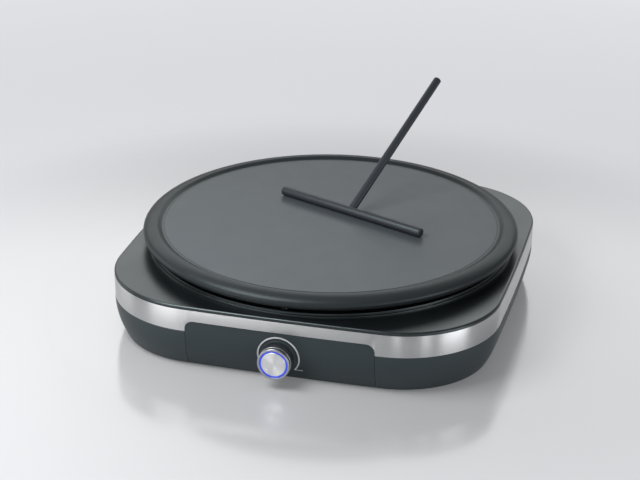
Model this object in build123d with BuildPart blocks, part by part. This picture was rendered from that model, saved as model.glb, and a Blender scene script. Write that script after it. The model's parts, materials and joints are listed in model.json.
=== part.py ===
from build123d import *
from math import asin, cos, degrees, radians, sin, sqrt
import os

os.makedirs("parts", exist_ok=True)

# Electric crepe maker: a round cast griddle plate over a rounded-square housing with a steel trim band,
# a control panel with one lit knob, and a T-shaped batter spreader with its bar on the plate.
# Millimetres. +Z is up, -Y is the front with the knob, and z = 0 is the surface that the feet stand on.
# x = 0, y = 0 is the middle of the whole object's box. The knob stands out further than the cord gland,
# so the axis of the plate lies behind that by centre_y.

# ---------------------------------------------------------------- housing outline
housing_width = 337.2         # across X, at the trim band
housing_depth = 332.6         # across Y, at the trim band
side_bow = 4.6                # how far each side swells over its full length, before the corners are rounded
corner_radius = 85.0
half_width, half_depth = housing_width / 2, housing_depth / 2
cover_reach = min(half_width, half_depth)     # from the plate's axis to the nearest side
wall = 2.5                    # moulded wall of covers and panel
# heights
base_edge = 1.5               # lower edge of the housing above the floor
belly = 35.0                  # below this the sides curl inwards
belly_radius = 66.2           # radius of that curl
band_top = 54.4               # top of the trim band, where the top cover's lip begins
lip_height = 2.9              # the top cover's visible edge
lip_round = 1.9
deck = band_top + lip_height  # upper face of the top cover

# ---------------------------------------------------------------- top cover
collar_margin = 6.3           # from the nearest side of the housing to the ring under the plate's rim
collar_width = 5.0
collar_step = 1.5             # the ring's outer shoulder
collar_rise = 4.2
collar_round = 0.6
shoulder_rise = 2.3
skirt_inset = 4.2             # locating rib inside the housing's rim
skirt_thickness = 1.8
skirt_drop = 5.0
well_ledge = 18.0             # from the ring's outside to the opening that the pan hangs in
collar_outer = cover_reach - collar_margin
collar_inner = collar_outer - collar_width
well_radius = collar_outer - well_ledge

# ---------------------------------------------------------------- reflector pan
pan_sheet = 0.8
pan_floor = 50.0              # underside of the pan's floor
pan_play = 3.5                # between the pan and the opening, and between its flange and the ring
pan_slope = 12.5              # run of its sloping side
pan_screw_edge = 3.3          # from the flange's edge to its screws
pan_screw_count, pan_screw_start = 6, 30.0
pan_boss_drop = 8.0           # bosses under the top cover for the pan's screws
pan_flange_radius = collar_inner - pan_play
pan_screw_circle = pan_flange_radius - pan_screw_edge
pan_throat = well_radius - pan_play           # where the slope meets the flange
pan_floor_radius = pan_throat - pan_slope

# ---------------------------------------------------------------- griddle plate
plate_radius = 165.0
rim_width = 18.7              # from the flat cooking face to the plate's edge
rim_bead = 11.8               # from the rim's highest line to the plate's edge
cooking_height = 75.0
plate_thickness = 6.0
crest_rise = 1.95
rim_half_height = 6.37        # the rim's outer bead is half an ellipse in section
dip_depth = 0.3               # hollow line where the flat meets the rim
dip_run = 1.7
rim_foot = 5.2                # width of the flat under the rim's bead
rim_inner_slope = 3.5
flat_radius, crest_radius = plate_radius - rim_width, plate_radius - rim_bead
plate_underside = cooking_height - plate_thickness
crest_height = cooking_height + crest_rise
rim_bottom = crest_height - 2 * rim_half_height

# ---------------------------------------------------------------- heating element under the plate
element_margin = 21.0         # from the ring's centre line to the pan's slope
tube_radius = 4.0
tube_fit = 0.15               # between the tube and its groove, bushes and clamps
channel_half_width = 7.5      # cast channel that holds the tube
channel_depth = 4.0
element_rise = 4.4            # tube centre below the plate's underside
element_gap = 14.0            # degrees, each side of the rear, between the ring's two ends
bend_radius = 8.0
cold_end_bottom = 39.0
terminal_length = 11.0        # blade below the cold end
insulator_radius, insulator_flange = 7.0, 9.0
insulator_drop, insulator_rise = 4.0, 2.2     # below and above the pan's floor
element_radius = pan_floor_radius - element_margin
element_height = plate_underside - element_rise

clamp_width = 12.0
clamp_thickness = 1.5
clamp_screw_step = 15.0       # from the tube's centre line to the clamp screws
clamp_reach = 8.0             # strap past the tube's centre line
clamp_boss_radius = 4.6
clamp_count, clamp_start = 4, 45.0
clamp_screw_radius = element_radius - clamp_screw_step
clamp_seat = element_height - tube_radius

post_step = 27.0              # from the tube's centre line to the posts that carry the plate
post_circle = element_radius - post_step
post_count, post_start = 3, 30.0
post_radius = 6.5
post_drop = 7.0
spacer_radius = 6.0

# ---------------------------------------------------------------- trim band and housing rim
band_thickness = 0.8
band_play = 0.3               # behind the band
belly_bevel = 0.5             # shadow line under the band
band_recess = band_thickness + band_play

# ---------------------------------------------------------------- housing floor
sill = 2.9                    # width of the housing's lower edge
ledge_width = 10.0            # the base cover is screwed up against this ledge
ledge_thickness = 2.5
base_cover_thickness = 2.0
base_play = 0.3
base_cover_top = 4.0
column_margin_x, column_margin_y = 38.6, 38.3     # from the housing's sides to its columns
column_x, column_y = half_width - column_margin_x, half_depth - column_margin_y
side_column_margin = 18.6     # extra columns at the middle of the left and right sides
side_column_x = half_width - side_column_margin
column_radius = 5.5
column_split = 30.0           # where the housing's columns meet the top cover's bosses
cover_boss_radius = 4.5

# ---------------------------------------------------------------- screws
screw_play = 0.15             # radial, where a screw passes through
thread_play = 0.05            # radial, where it bites
small_shank, small_head, small_head_height = 1.45, 2.9, 1.8
plate_shank, plate_head, plate_head_height = 1.95, 3.9, 2.6
cover_shank, cover_head = 1.7, 3.3
cover_screw_length = 44.0
drive_width, drive_depth = 0.7, 0.9

# ---------------------------------------------------------------- control panel and knob
panel_margin = 88.6           # from the housing's sides to the panel
panel_width = housing_width - 2 * panel_margin
panel_top = 44.2
panel_corner = 7.0
seam = 0.3                    # round the panel
knob_height = 23.0            # axis above the floor
pedestal_radius = 14.6        # flat disc on the panel behind the knob
pedestal_proud = 0.6          # all "proud" sizes count from the housing's front, before it curls in
panel_back = 9.0              # rear face of the pedestal, behind the housing's front
tab_overlap, tab_reach = 9.0, 12.0            # tab inside and outside the panel's edge
tab_inner, tab_outer = panel_width / 2 - tab_overlap, panel_width / 2 + tab_reach
tab_depth = 12.5
tab_sheet = 2.0
tab_bottom, tab_top = 12.0, 40.0
tab_screw_edge = 5.0          # from the tab's outer edge to its screws
tab_screw_x = tab_outer - tab_screw_edge
tab_screw_heights = (17.0, 34.0)
tab_boss_radius = 3.4

arc_radius = 17.5             # printed dial arc, middle of its line
arc_line = 1.2
arc_print = 0.25              # how far the print stands off the panel
arc_start, arc_span = 220.0, 260.0   # degrees from +X; the span runs clockwise
tick_length, tick_line = 7.0, 0.7

knob_proud = 14.0
knob_radius = 13.7
skirt_radius = 13.4
neck_radius = 12.7
knob_clearance = 0.6          # between the knob's rear and the pedestal
neck_length = 2.0
skirt_lip = 0.6               # rear lip that carries the light ring
bezel_depth = 1.8
bezel_round = 0.6
groove_radius = 13.0
band_ring_front, band_ring_depth = 4.0, 1.4   # bright ring: distance behind the knob's face, and width
light_outer, light_inner = 12.0, 10.7
light_fit = 0.1
light_flange = 1.0            # light ring's rear flange, under the core's edge
light_sink, cap_sink = 0.15, 0.2
core_wall = 1.4
cap_thickness = 1.7
cap_chamfer = 0.4
hub_radius = 6.0
web_thickness = 2.0
dimple_radius, dimple_circle, dimple_depth = 0.8, 7.6, 0.35

spindle_radius = 3.0
spindle_flat = 2.2            # from the axis to the flat of the D
spindle_front = 9.0
spindle_rear = 30.0
running_fit = 0.05
collar_radius, collar_front, collar_length = 4.4, 15.2, 1.2   # spindle's collar ahead of its bush
retainer_radius, retainer_bore, retainer_thickness = 5.2, 2.4, 0.6   # snap ring behind the bush
retainer_depth = 25.1
clip_thickness, clip_length, clip_gap = 0.4, 6.0, 3.0

window_fit = 0.1
window_radius = 12.3
window_flange_radius, window_flange = 15.0, 2.0
window_bore = 5.6

board_depth = 15.0            # rear face of the lamp board
board_thickness = 1.2
board_radius, board_bore = 15.0, 6.4
board_ear_span, board_ear = 46.0, 7.0
board_post_x, board_post_radius = 19.5, 2.7
lamp_circle, lamp_radius, lamp_length, lamp_count = 11.3, 1.5, 2.0, 6

# ---------------------------------------------------------------- thermostat
bracket_depth = 20.5          # front face of the bracket
bracket_thickness = 1.5
bracket_width, bracket_height = 76.0, 20.0
bracket_screw_x = 32.0
bracket_boss_radius = 3.6
bush_radius, bush_flange_radius, bush_flange = 4.8, 8.0, 1.5
bush_front = 16.5
nut_flats, nut_thickness = 13.0, 2.6
case_radius, case_wall, case_length = 16.0, 1.5, 20.0
adjuster_radius, adjuster_front, adjuster_length = 5.5, 26.0, 8.0
adjuster_bore_depth = 5.0
adjuster_tip_radius, adjuster_tip = 1.5, 0.9
diaphragm_radius, diaphragm_thickness = 11.0, 2.5
diaphragm_post, diaphragm_post_length = 4.0, 2.0
blade_width, blade_thickness, blade_length, blade_offset = 6.3, 0.8, 9.0, 7.0
bulb_radius, bulb_length, bulb_y = 2.5, 70.0, -42.0
bulb_fit = 0.1
clip_width, clip_sheet, clip_flange = 14.0, 0.8, 11.0
saddle_reach = 8.5            # from a saddle's middle to its screws
saddle_boss_radius = 3.6
capillary_radius = 0.7
capillary_bend = 7.0
capillary_reach = 15.0        # from the bulb's end to where the tube turns down
capillary_run = 26.0          # straight out of the thermostat
capillary_climb = 11.0        # above the thermostat, where it heads for the bulb
capillary_lead = 28.0         # ahead of the bulb

# ---------------------------------------------------------------- rear: gland, terminal block, fuse
gland_x, gland_height = 60.0, 20.0
gland_bore = 3.6
gland_half = 6.4               # half the width of its square body
gland_flange_radius, gland_proud = 10.2, 2.5
gland_fit = 0.1
gland_pad_half, gland_pad_round = 12.0, 3.0
gland_pad_depth = 7.6
gland_inner_flange = 2.5
tongue_proud = 0.3            # the gland's tongue fills the slot under it, down to the housing's edge
block_width, block_depth, block_height = 50.0, 18.0, 14.0
block_margin, block_seat = 54.3, 9.0          # from the rear of the housing, and above the floor
block_pitch = 9.0
block_bore, way_depth = 2.2, 8.0
block_post_radius, block_post_shift = 4.0, 3.0
block_y = half_depth - block_margin
fuse_y, fuse_radius, fuse_length = 45.0, 2.2, 15.0
fuse_lead_radius, fuse_lead_bend = 0.9, 4.0
fuse_lead_reach = 8.5         # from the fuse's end to where its lead turns down
fuse_lead_bottom = 43.0
pan_grommet_radius = 4.0
wire_radius = 1.1
wire_bend = 9.0
lamp_wire_radius, lamp_wire_bend = 0.8, 2.5
lamp_wire_run, lamp_wire_gap = 3.6, 2.4       # straight behind the lamp board, then back to its side run
lamp_wire_side = 20.0
wire_low = 12.0               # height at which wires lie along the base
way_run = 31.0                # straight out of the terminal block
connector_width, connector_depth, connector_length = 8.0, 3.2, 9.0
connector_overlap = 7.0
earth_margin_x, earth_margin_y = 30.0, 116.3  # the tag's screw, from the pan's slope and from the rear
earth_x, earth_y = pan_floor_radius - earth_margin_x, half_depth - earth_margin_y
earth_crimp = 10.0            # from the tag's hole to its crimp
tag_sheet = 0.8

# ---------------------------------------------------------------- feet and base
foot_margin_x, foot_margin_y = 58.6, 58.3     # from the housing's sides to the feet
foot_x, foot_y = half_width - foot_margin_x, half_depth - foot_margin_y
foot_radius = 12.0
foot_round = 0.6
foot_stem_radius, foot_head_radius, foot_head = 2.9, 4.2, 1.6
foot_fit = 0.1
vent_length, vent_width = 42.0, 3.5
vent_pitch = 9.0
vent_rows = 6
vent_x = 70.0

# ---------------------------------------------------------------- spreader
bar_length, bar_radius = 153.2, 4.1
bar_turn = -23.0              # degrees that the bar is turned on the plate
bar_x, bar_y = 14.0, 16.2     # its middle, from the plate's axis
bar_end_round = 1.2
notch_width, notch_depth = 22.0, 1.6
handle_radius = 3.6
handle_length = 158.0
handle_tilt = 34.2            # degrees that the handle is raised above the plate
handle_fit = 0.05
handle_end_round = 1.5
spigot_radius, spigot_length = 1.6, 3.4
rest_gap = 0.3                # between the spreader and the plate

# ================================================================ frames and helpers
centre_y = (knob_proud - gland_proud) / 2
side_radius = ((half_width - side_bow) ** 2 + side_bow**2) / (2 * side_bow)
front_y = centre_y - half_depth
rear_y = centre_y + half_depth
plate_axis = Axis((0, centre_y, 0), (0, 0, 1))
plate_section = Plane(origin=(0, centre_y, 0), x_dir=(1, 0, 0), z_dir=(0, -1, 0))
knob_axis = Axis((0, front_y, knob_height), (0, -1, 0))
# local x is the distance from the knob's axis, local y the distance in front of the housing
knob_section = Plane(origin=(0, front_y, knob_height), x_dir=(1, 0, 0), z_dir=(0, 0, -1))


def level(height):
    """Horizontal plane at a height, with its origin on the plate's axis."""
    return Plane((0, centre_y, height))


def facing_front(proud):
    """Upright plane that faces the front, centred on the knob's axis."""
    return Plane(origin=(0, front_y - proud, knob_height), x_dir=(1, 0, 0), z_dir=(0, -1, 0))


def belly_inset(height):
    """How far the housing's side has curled in at a height."""
    drop = max(belly - height, 0)
    return belly_radius - sqrt(belly_radius**2 - drop**2)


def outline(height, inset=0.0):
    """The housing's outline on a level, as a sketch that operations take directly."""
    a, b = half_width - inset, half_depth - inset
    c, d = a - side_bow, b - side_bow
    with BuildSketch(level(height)) as shape:
        with BuildLine():
            ThreePointArc((-c, -d), (0, -b), (c, -d))
            ThreePointArc((c, -d), (a, 0), (c, d))
            ThreePointArc((c, d), (0, b), (-c, d))
            ThreePointArc((-c, d), (-a, 0), (-c, -d))
        make_face()
        fillet(shape.vertices(), corner_radius - inset)
    return shape.sketch


rim_path = outline(0).face().outer_wire()
path_start, path_heading = rim_path @ 0, rim_path % 0
# local x points out of the housing, local y is the height above the floor
wall_section = Plane(origin=path_start, x_dir=path_heading.cross(Vector(0, 0, 1)), z_dir=-path_heading)


def panel_window(growth):
    """Outline of the control panel on an upright plane, grown by a clearance."""
    plane = Plane(origin=(0, centre_y, 0), x_dir=(1, 0, 0), z_dir=(0, -1, 0))
    half, top = panel_width / 2 + growth, panel_top + growth
    with BuildSketch(plane) as shape:
        with BuildLine():
            Polyline((-half, -1), (half, -1), (half, top), (-half, top), close=True)
        make_face()
        fillet(shape.vertices().group_by(Axis.Y)[-1], panel_corner + growth)
    return shape.sketch


def section_arc(depth, low, high):
    """The side's curl at a depth under its surface, between two heights, in wall_section."""
    radius = belly_radius - depth
    start = -degrees(asin((belly - low) / radius))
    end = -degrees(asin((belly - high) / radius))
    return CenterArc((-belly_radius, belly), radius, start, end - start)


def discs(plane, spots, radius):
    """Sketch of equal discs on a plane."""
    with BuildSketch(plane) as shape:
        with Locations(*spots):
            Circle(radius)
    return shape.sketch


def drive_slots(plane, spots, size, amount):
    """Cuts crossed drive slots into screw heads that end on a plane."""
    with BuildSketch(plane) as slots:
        with Locations(*spots):
            Rectangle(size, drive_width)
            Rectangle(drive_width, size)
    extrude(slots.sketch, amount=amount, mode=Mode.SUBTRACT)


def upright_screws(spots, seat, head, head_height, shank, length, head_up=True):
    """Adds pan-head screws with their heads on a level and their shanks through it."""
    side = 1 if head_up else -1
    extrude(discs(level(seat), spots, head), amount=side * head_height)
    fillet(edges(Select.LAST).group_by(Axis.Z)[-1 if head_up else 0], head_height * 0.3)
    extrude(discs(level(seat), spots, shank), amount=-side * length)
    drive_slots(level(seat + side * head_height), spots, head * 1.1, -side * drive_depth)


def round_wire(points, radius, bend):
    """Adds a round wire or tube along runs joined by tangent arcs; points count from the plate's axis."""
    with BuildLine(level(0)) as route:
        FilletPolyline(*points, radius=bend)
    start = Plane(origin=route.line @ 0, z_dir=route.line % 0)
    sweep(discs(start, [(0, 0)], radius), path=route.line)


def polar_spots(radius, count, start):
    """Points on a circle about the plate's axis."""
    angles = [start + 360 / count * i for i in range(count)]
    return [(radius * cos(radians(a)), radius * sin(radians(a))) for a in angles]


def finish(piece, name):
    """Labels a finished piece and writes it."""
    piece.part.label = name
    export_step(piece.part, f"parts/{name}.step")


post_spots = polar_spots(post_circle, post_count, post_start)
pan_screw_spots = polar_spots(pan_screw_circle, pan_screw_count, pan_screw_start)
column_spots = [(sx * column_x, sy * column_y) for sx in (-1, 1) for sy in (-1, 1)]
column_spots += [(-side_column_x, 0), (side_column_x, 0)]
foot_names = {"foot_front_left": (-1, -1), "foot_front_right": (1, -1),
              "foot_rear_left": (-1, 1), "foot_rear_right": (1, 1)}
foot_spots = [(sx * foot_x, sy * foot_y) for sx, sy in foot_names.values()]

# ================================================================ griddle plate and what hangs under it
element_spots = []            # where the ring's cold ends stand
for side in (1, -1):
    angle = radians(90 + side * element_gap)
    element_spots.append((element_radius * cos(angle) + side * bend_radius * sin(angle),
                          element_radius * sin(angle) - side * bend_radius * cos(angle)))
bulb_height, fuse_height = plate_underside - bulb_radius, plate_underside - fuse_radius
saddle_seats = [(height, [(0, y + side * saddle_reach) for side in (-1, 1)], clip_sheet)
                for y, height in ((bulb_y, bulb_height), (fuse_y, fuse_height))]
post_bottom = plate_underside - post_drop
clamp_screw_spots = polar_spots(clamp_screw_radius, clamp_count, clamp_start)

with BuildPart() as griddle_plate:
    rim_centre = (crest_radius, crest_height - rim_half_height)
    bead = plate_radius - crest_radius
    with BuildSketch(plate_section):
        with BuildLine():
            Polyline((0, plate_underside), (0, cooking_height), (flat_radius, cooking_height))
            Spline((flat_radius, cooking_height), (flat_radius + dip_run, cooking_height - dip_depth),
                   (crest_radius, crest_height), tangents=((1, -0.3), (1, 0)))
            EllipticalCenterArc(rim_centre, bead, rim_half_height, 0, arc_size=90)
            EllipticalCenterArc(rim_centre, bead, rim_half_height, 0, arc_size=-90)
            Polyline((crest_radius, rim_bottom), (crest_radius - rim_foot, rim_bottom),
                     (crest_radius - rim_foot - rim_inner_slope, plate_underside), (0, plate_underside))
        make_face()
    revolve(axis=plate_axis)
    with BuildSketch(plate_section):
        with Locations((element_radius, plate_underside - channel_depth / 2)):
            Rectangle(2 * channel_half_width, channel_depth)
    revolve(axis=plate_axis)
    with BuildSketch(plate_section):
        with Locations((element_radius, element_height)):
            Circle(tube_radius + tube_fit)
    revolve(axis=plate_axis, mode=Mode.SUBTRACT)
    bosses = [(post_spots, post_radius, plate_shank, post_bottom),
              (clamp_screw_spots, clamp_boss_radius, small_shank, clamp_seat)]
    bosses += [(spots, saddle_boss_radius, small_shank, height) for height, spots, grip in saddle_seats]
    for spots, radius, shank, bottom in bosses:
        extrude(discs(level(bottom), spots, radius), amount=plate_underside - bottom)
    for spots, radius, shank, bottom in bosses:
        depth = min(post_drop, plate_underside - bottom + plate_thickness / 2)
        extrude(discs(level(bottom), spots, shank + thread_play), amount=depth, mode=Mode.SUBTRACT)
finish(griddle_plate, "griddle_plate")

with BuildPart() as heating_element:
    for side, spot in zip((1, -1), element_spots):
        angle = radians(90 + side * element_gap)
        radial = Vector(cos(angle), sin(angle), 0)
        ring_end = Vector(0, centre_y, element_height) + radial * element_radius
        with BuildSketch(Plane(origin=ring_end, x_dir=radial, z_dir=Vector(-sin(angle), cos(angle), 0))):
            Circle(tube_radius)
        revolve(axis=Axis(ring_end - Vector(0, 0, bend_radius), radial), revolution_arc=side * 90)
        with BuildSketch(level(cold_end_bottom)):
            with Locations(spot):
                Circle(tube_radius)
        extrude(amount=element_height - bend_radius - cold_end_bottom)
    with BuildSketch(Plane(origin=ring_end, x_dir=radial, z_dir=Vector(-sin(angle), cos(angle), 0))):
        Circle(tube_radius)
    revolve(axis=plate_axis, revolution_arc=2 * element_gap - 360)
finish(heating_element, "heating_element")

with BuildPart() as element_clamps:
    inner = clamp_screw_radius - clamp_boss_radius
    outer = element_radius + clamp_reach
    with BuildSketch(level(clamp_seat)):
        with PolarLocations((inner + outer) / 2, clamp_count, clamp_start):
            RectangleRounded(outer - inner, clamp_width, 1.5)
        with Locations(*clamp_screw_spots):
            Circle(small_shank + screw_play, mode=Mode.SUBTRACT)
    extrude(amount=-clamp_thickness)
finish(element_clamps, "element_clamps")

with BuildPart() as clamp_screws:
    for seat, spots, grip in [(clamp_seat, clamp_screw_spots, clamp_thickness)] + saddle_seats:
        upright_screws(spots, seat - grip, small_head, small_head_height, small_shank, grip + 4.5,
                       head_up=False)
finish(clamp_screws, "clamp_screws")

lead_x = fuse_length / 2 + fuse_lead_reach
capillary_x = bulb_length / 2 + capillary_reach
grommet_spots = [(-lead_x, fuse_y), (lead_x, fuse_y), (capillary_x, bulb_y)]
earth_spot = (earth_x, earth_y)

with BuildPart() as element_insulators:
    bottom = pan_floor - insulator_drop
    length = pan_sheet + insulator_drop + insulator_rise
    extrude(discs(level(bottom), element_spots, insulator_radius), amount=length)
    extrude(discs(level(pan_floor + pan_sheet), element_spots, insulator_flange), amount=insulator_rise)
    extrude(discs(level(bottom), element_spots, tube_radius + tube_fit), amount=length, mode=Mode.SUBTRACT)
finish(element_insulators, "element_insulators")

with BuildPart() as element_terminals:
    with BuildSketch(level(cold_end_bottom)):
        with Locations(*element_spots):
            Rectangle(blade_width, blade_thickness)
    extrude(amount=-terminal_length)
finish(element_terminals, "element_terminals")

with BuildPart() as reflector_pan:
    with BuildSketch(plate_section):
        with BuildLine():
            Polyline((0, pan_floor), (pan_floor_radius, pan_floor), (pan_throat, deck),
                     (pan_flange_radius, deck), (pan_flange_radius, deck + pan_sheet),
                     (pan_throat - pan_sheet * 0.6, deck + pan_sheet),
                     (pan_floor_radius - pan_sheet * 0.6, pan_floor + pan_sheet),
                     (0, pan_floor + pan_sheet), close=True)
        make_face()
    revolve(axis=plate_axis)
    for spots, radius in ((post_spots, plate_shank + screw_play), (grommet_spots, pan_grommet_radius),
                          (element_spots, insulator_radius + tube_fit),
                          ([earth_spot] + pan_screw_spots, small_shank + screw_play)):
        extrude(discs(level(pan_floor), spots, radius), amount=deck + pan_sheet - pan_floor,
                mode=Mode.SUBTRACT)
finish(reflector_pan, "reflector_pan")

with BuildPart() as pan_grommets:
    extrude(discs(level(pan_floor - 1.5), grommet_spots, pan_grommet_radius - tube_fit), amount=4.5)
    extrude(discs(level(pan_floor + pan_sheet), grommet_spots, pan_grommet_radius + 1.5), amount=1.0)
    extrude(discs(level(pan_floor - 1.5), grommet_spots, fuse_lead_radius + tube_fit), amount=4.5,
            mode=Mode.SUBTRACT)
finish(pan_grommets, "pan_grommets")

with BuildPart() as plate_spacers:
    seat = pan_floor + pan_sheet
    extrude(discs(level(seat), post_spots, spacer_radius), amount=post_bottom - seat)
    extrude(discs(level(seat), post_spots, plate_shank + screw_play), amount=post_bottom - seat,
            mode=Mode.SUBTRACT)
finish(plate_spacers, "plate_spacers")

with BuildPart() as plate_screws:
    upright_screws(post_spots, pan_floor, plate_head, plate_head_height, plate_shank,
                   post_bottom - pan_floor + post_drop - 1.0, head_up=False)
finish(plate_screws, "plate_screws")

# ================================================================ covers
sill_inset = belly_inset(base_edge) + sill
ledge_top = base_cover_top + ledge_thickness

with BuildPart() as top_cover:
    extrude(outline(band_top), amount=lip_height)
    fillet(edges().group_by(Axis.Z)[-1], lip_round)
    with BuildSketch(plate_section) as collar:
        with BuildLine():
            Polyline((collar_inner, deck - lip_height / 2), (collar_outer, deck - lip_height / 2),
                     (collar_outer, deck + shoulder_rise), (collar_outer - collar_step, deck + shoulder_rise),
                     (collar_outer - collar_step, deck + collar_rise), (collar_inner, deck + collar_rise),
                     close=True)
        make_face()
        fillet(collar.vertices().group_by(Axis.Y)[-1], collar_round)
        fillet(collar.vertices().group_by(Axis.X)[-1].sort_by(Axis.Y)[-1], collar_round)
    revolve(axis=plate_axis)
    extrude(outline(band_top, skirt_inset), amount=-skirt_drop)
    extrude(outline(band_top, skirt_inset + skirt_thickness), amount=-skirt_drop, mode=Mode.SUBTRACT)
    extrude(discs(level(band_top), [(0, 0)], well_radius), amount=lip_height, mode=Mode.SUBTRACT)
    extrude(discs(level(band_top), column_spots, cover_boss_radius), amount=column_split - band_top)
    extrude(discs(level(band_top), pan_screw_spots, cover_boss_radius), amount=-pan_boss_drop)
    extrude(discs(level(column_split), column_spots, cover_shank + thread_play),
            amount=band_top - column_split - 2.0, mode=Mode.SUBTRACT)
    extrude(discs(level(deck), pan_screw_spots, small_shank + thread_play),
            amount=-(pan_boss_drop + 1.0), mode=Mode.SUBTRACT)
finish(top_cover, "top_cover")

with BuildPart() as pan_screws:
    upright_screws(pan_screw_spots, deck + pan_sheet, small_head, small_head_height, small_shank, 8.0)
    upright_screws([earth_spot], pan_floor - tag_sheet, small_head, small_head_height, small_shank,
                   tag_sheet + pan_sheet + 3.0, head_up=False)
finish(pan_screws, "pan_screws")

with BuildPart() as trim_band:
    with BuildSketch(wall_section):
        with BuildLine():
            Polyline((-band_thickness, belly), (0, belly), (0, band_top),
                     (-band_thickness, band_top), close=True)
        make_face()
    sweep(path=rim_path)
    extrude(panel_window(seam), amount=housing_depth, mode=Mode.SUBTRACT)
finish(trim_band, "trim_band")

with BuildPart() as panel_opening:
    with BuildSketch(wall_section):
        with BuildLine():
            Polyline((-sill_inset, -1), (2, -1), (2, panel_top + 1), (-sill_inset, panel_top + 1), close=True)
        make_face()
    sweep(path=rim_path)
    extrude(panel_window(seam), amount=housing_depth, mode=Mode.INTERSECT)

gland_plane = Plane(origin=(gland_x, rear_y, gland_height), x_dir=(-1, 0, 0), z_dir=(0, 1, 0))
ledge_inset = sill_inset + ledge_width


def gland_slot(growth):
    """Outline of the slot the gland slides up into, open at the bottom, grown by a clearance."""
    half, drop = gland_half + growth, gland_height + 1
    with BuildSketch(gland_plane) as shape:
        with Locations((0, (half - drop) / 2)):
            Rectangle(2 * half, half + drop)
    return shape.sketch


with BuildPart() as lower_housing:
    with BuildSketch(wall_section):
        with BuildLine():
            curl = section_arc(0, base_edge, belly - belly_bevel)
            inner_curl = section_arc(wall, ledge_top, belly)
            Polyline(curl @ 1, (-belly_bevel, belly), (-band_recess, belly), (-band_recess, band_top),
                     (-band_recess - wall, band_top),
                     (-band_recess - wall, belly + band_recess), inner_curl @ 1)
            Polyline(inner_curl @ 0, (-ledge_inset, ledge_top), (-ledge_inset, base_cover_top),
                     (-sill_inset, base_cover_top), (-sill_inset, base_edge), curl @ 0)
        make_face()
    sweep(path=rim_path)
    column_length = column_split - base_cover_top
    extrude(discs(level(base_cover_top), column_spots, column_radius), amount=column_length)
    extrude(discs(level(base_cover_top), column_spots, cover_shank + screw_play), amount=column_length,
            mode=Mode.SUBTRACT)
    add(panel_opening.part, mode=Mode.SUBTRACT)
    tab_sag = tab_screw_x**2 / (2 * side_radius)
    for height in tab_screw_heights:
        boss = tab_depth - belly_inset(height) - tab_sag - wall / 2
        spots = [(side * tab_screw_x, height - knob_height) for side in (-1, 1)]
        extrude(discs(facing_front(-tab_depth), spots, tab_boss_radius), amount=boss)
        extrude(discs(facing_front(-tab_depth), spots, small_shank + thread_play), amount=boss - 1.5,
                mode=Mode.SUBTRACT)
    with BuildSketch(gland_plane):
        RectangleRounded(2 * gland_pad_half, 2 * gland_pad_half, gland_pad_round)
    extrude(amount=-gland_pad_depth)
    extrude(gland_slot(gland_fit), amount=-(ledge_inset + 2.0), mode=Mode.SUBTRACT)
finish(lower_housing, "lower_housing")

with BuildPart() as cord_gland:
    inner_end = gland_pad_depth + gland_inner_flange
    tongue_back, pad_low = belly_inset(ledge_top) + wall, gland_height - gland_pad_half
    with BuildSketch(wall_section):
        with BuildLine():
            curl = section_arc(-tongue_proud, base_edge, pad_low)
            Polyline(curl @ 1, (0, pad_low), (0, gland_height), (-tongue_back, gland_height),
                     (-tongue_back, ledge_top), (-ledge_inset, ledge_top), (-ledge_inset, base_cover_top),
                     (-sill_inset, base_cover_top), (-sill_inset, base_edge), curl @ 0)
        make_face()
    sweep(path=rim_path)
    extrude(gland_slot(0), amount=-(ledge_inset + 2.0), mode=Mode.INTERSECT)
    extrude(discs(gland_plane, [(0, 0)], gland_flange_radius), amount=gland_proud)
    with BuildSketch(gland_plane):
        Rectangle(2 * gland_half, 2 * gland_half)
    extrude(amount=-gland_pad_depth)
    extrude(discs(gland_plane.offset(-inner_end), [(0, 0)], gland_flange_radius), amount=gland_inner_flange)
    fillet(edges().group_by(Axis.Y)[-1], 0.8)
    extrude(discs(gland_plane.offset(-inner_end), [(0, 0)], gland_bore), amount=inner_end + gland_proud,
            mode=Mode.SUBTRACT)
finish(cord_gland, "cord_gland")

block_post_spots = [(gland_x + side * block_pitch * 1.5, block_y + block_post_shift) for side in (-1, 1)]
base_bottom = base_cover_top - base_cover_thickness
with BuildPart() as base_cover:
    extrude(outline(base_bottom, sill_inset + base_play), amount=base_cover_thickness)
    extrude(discs(level(base_cover_top), block_post_spots, block_post_radius),
            amount=block_seat - base_cover_top)
    with BuildSketch(level(base_bottom)):
        for side in (-1, 1):
            with Locations((side * vent_x, 0)):
                with GridLocations(0, vent_pitch, 1, vent_rows):
                    SlotOverall(vent_length, vent_width)
        with Locations(*column_spots):
            Circle(cover_shank + screw_play)
        with Locations(*foot_spots):
            Circle(foot_stem_radius + foot_fit)
    extrude(amount=base_cover_thickness, mode=Mode.SUBTRACT)
    extrude(discs(level(block_seat), block_post_spots, small_shank + thread_play), amount=-4.5,
            mode=Mode.SUBTRACT)
finish(base_cover, "base_cover")

with BuildPart() as cover_screws:
    upright_screws(column_spots, base_bottom, cover_head, 1.2, cover_shank, cover_screw_length, head_up=False)
finish(cover_screws, "cover_screws")

for foot_name, spot in zip(foot_names, foot_spots):
    with BuildPart() as foot:
        for height, radius, length in ((0, foot_radius, base_bottom),
                                       (base_bottom, foot_stem_radius, base_cover_thickness),
                                       (base_cover_top, foot_head_radius, foot_head)):
            extrude(discs(level(height), [spot], radius), amount=length)
        fillet(edges().group_by(Axis.Z)[0], foot_round)
    finish(foot, foot_name)

# ================================================================ control panel
bracket_spots = [(-bracket_screw_x, 0), (bracket_screw_x, 0)]
board_spots = [(-board_post_x, 0), (board_post_x, 0)]

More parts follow.
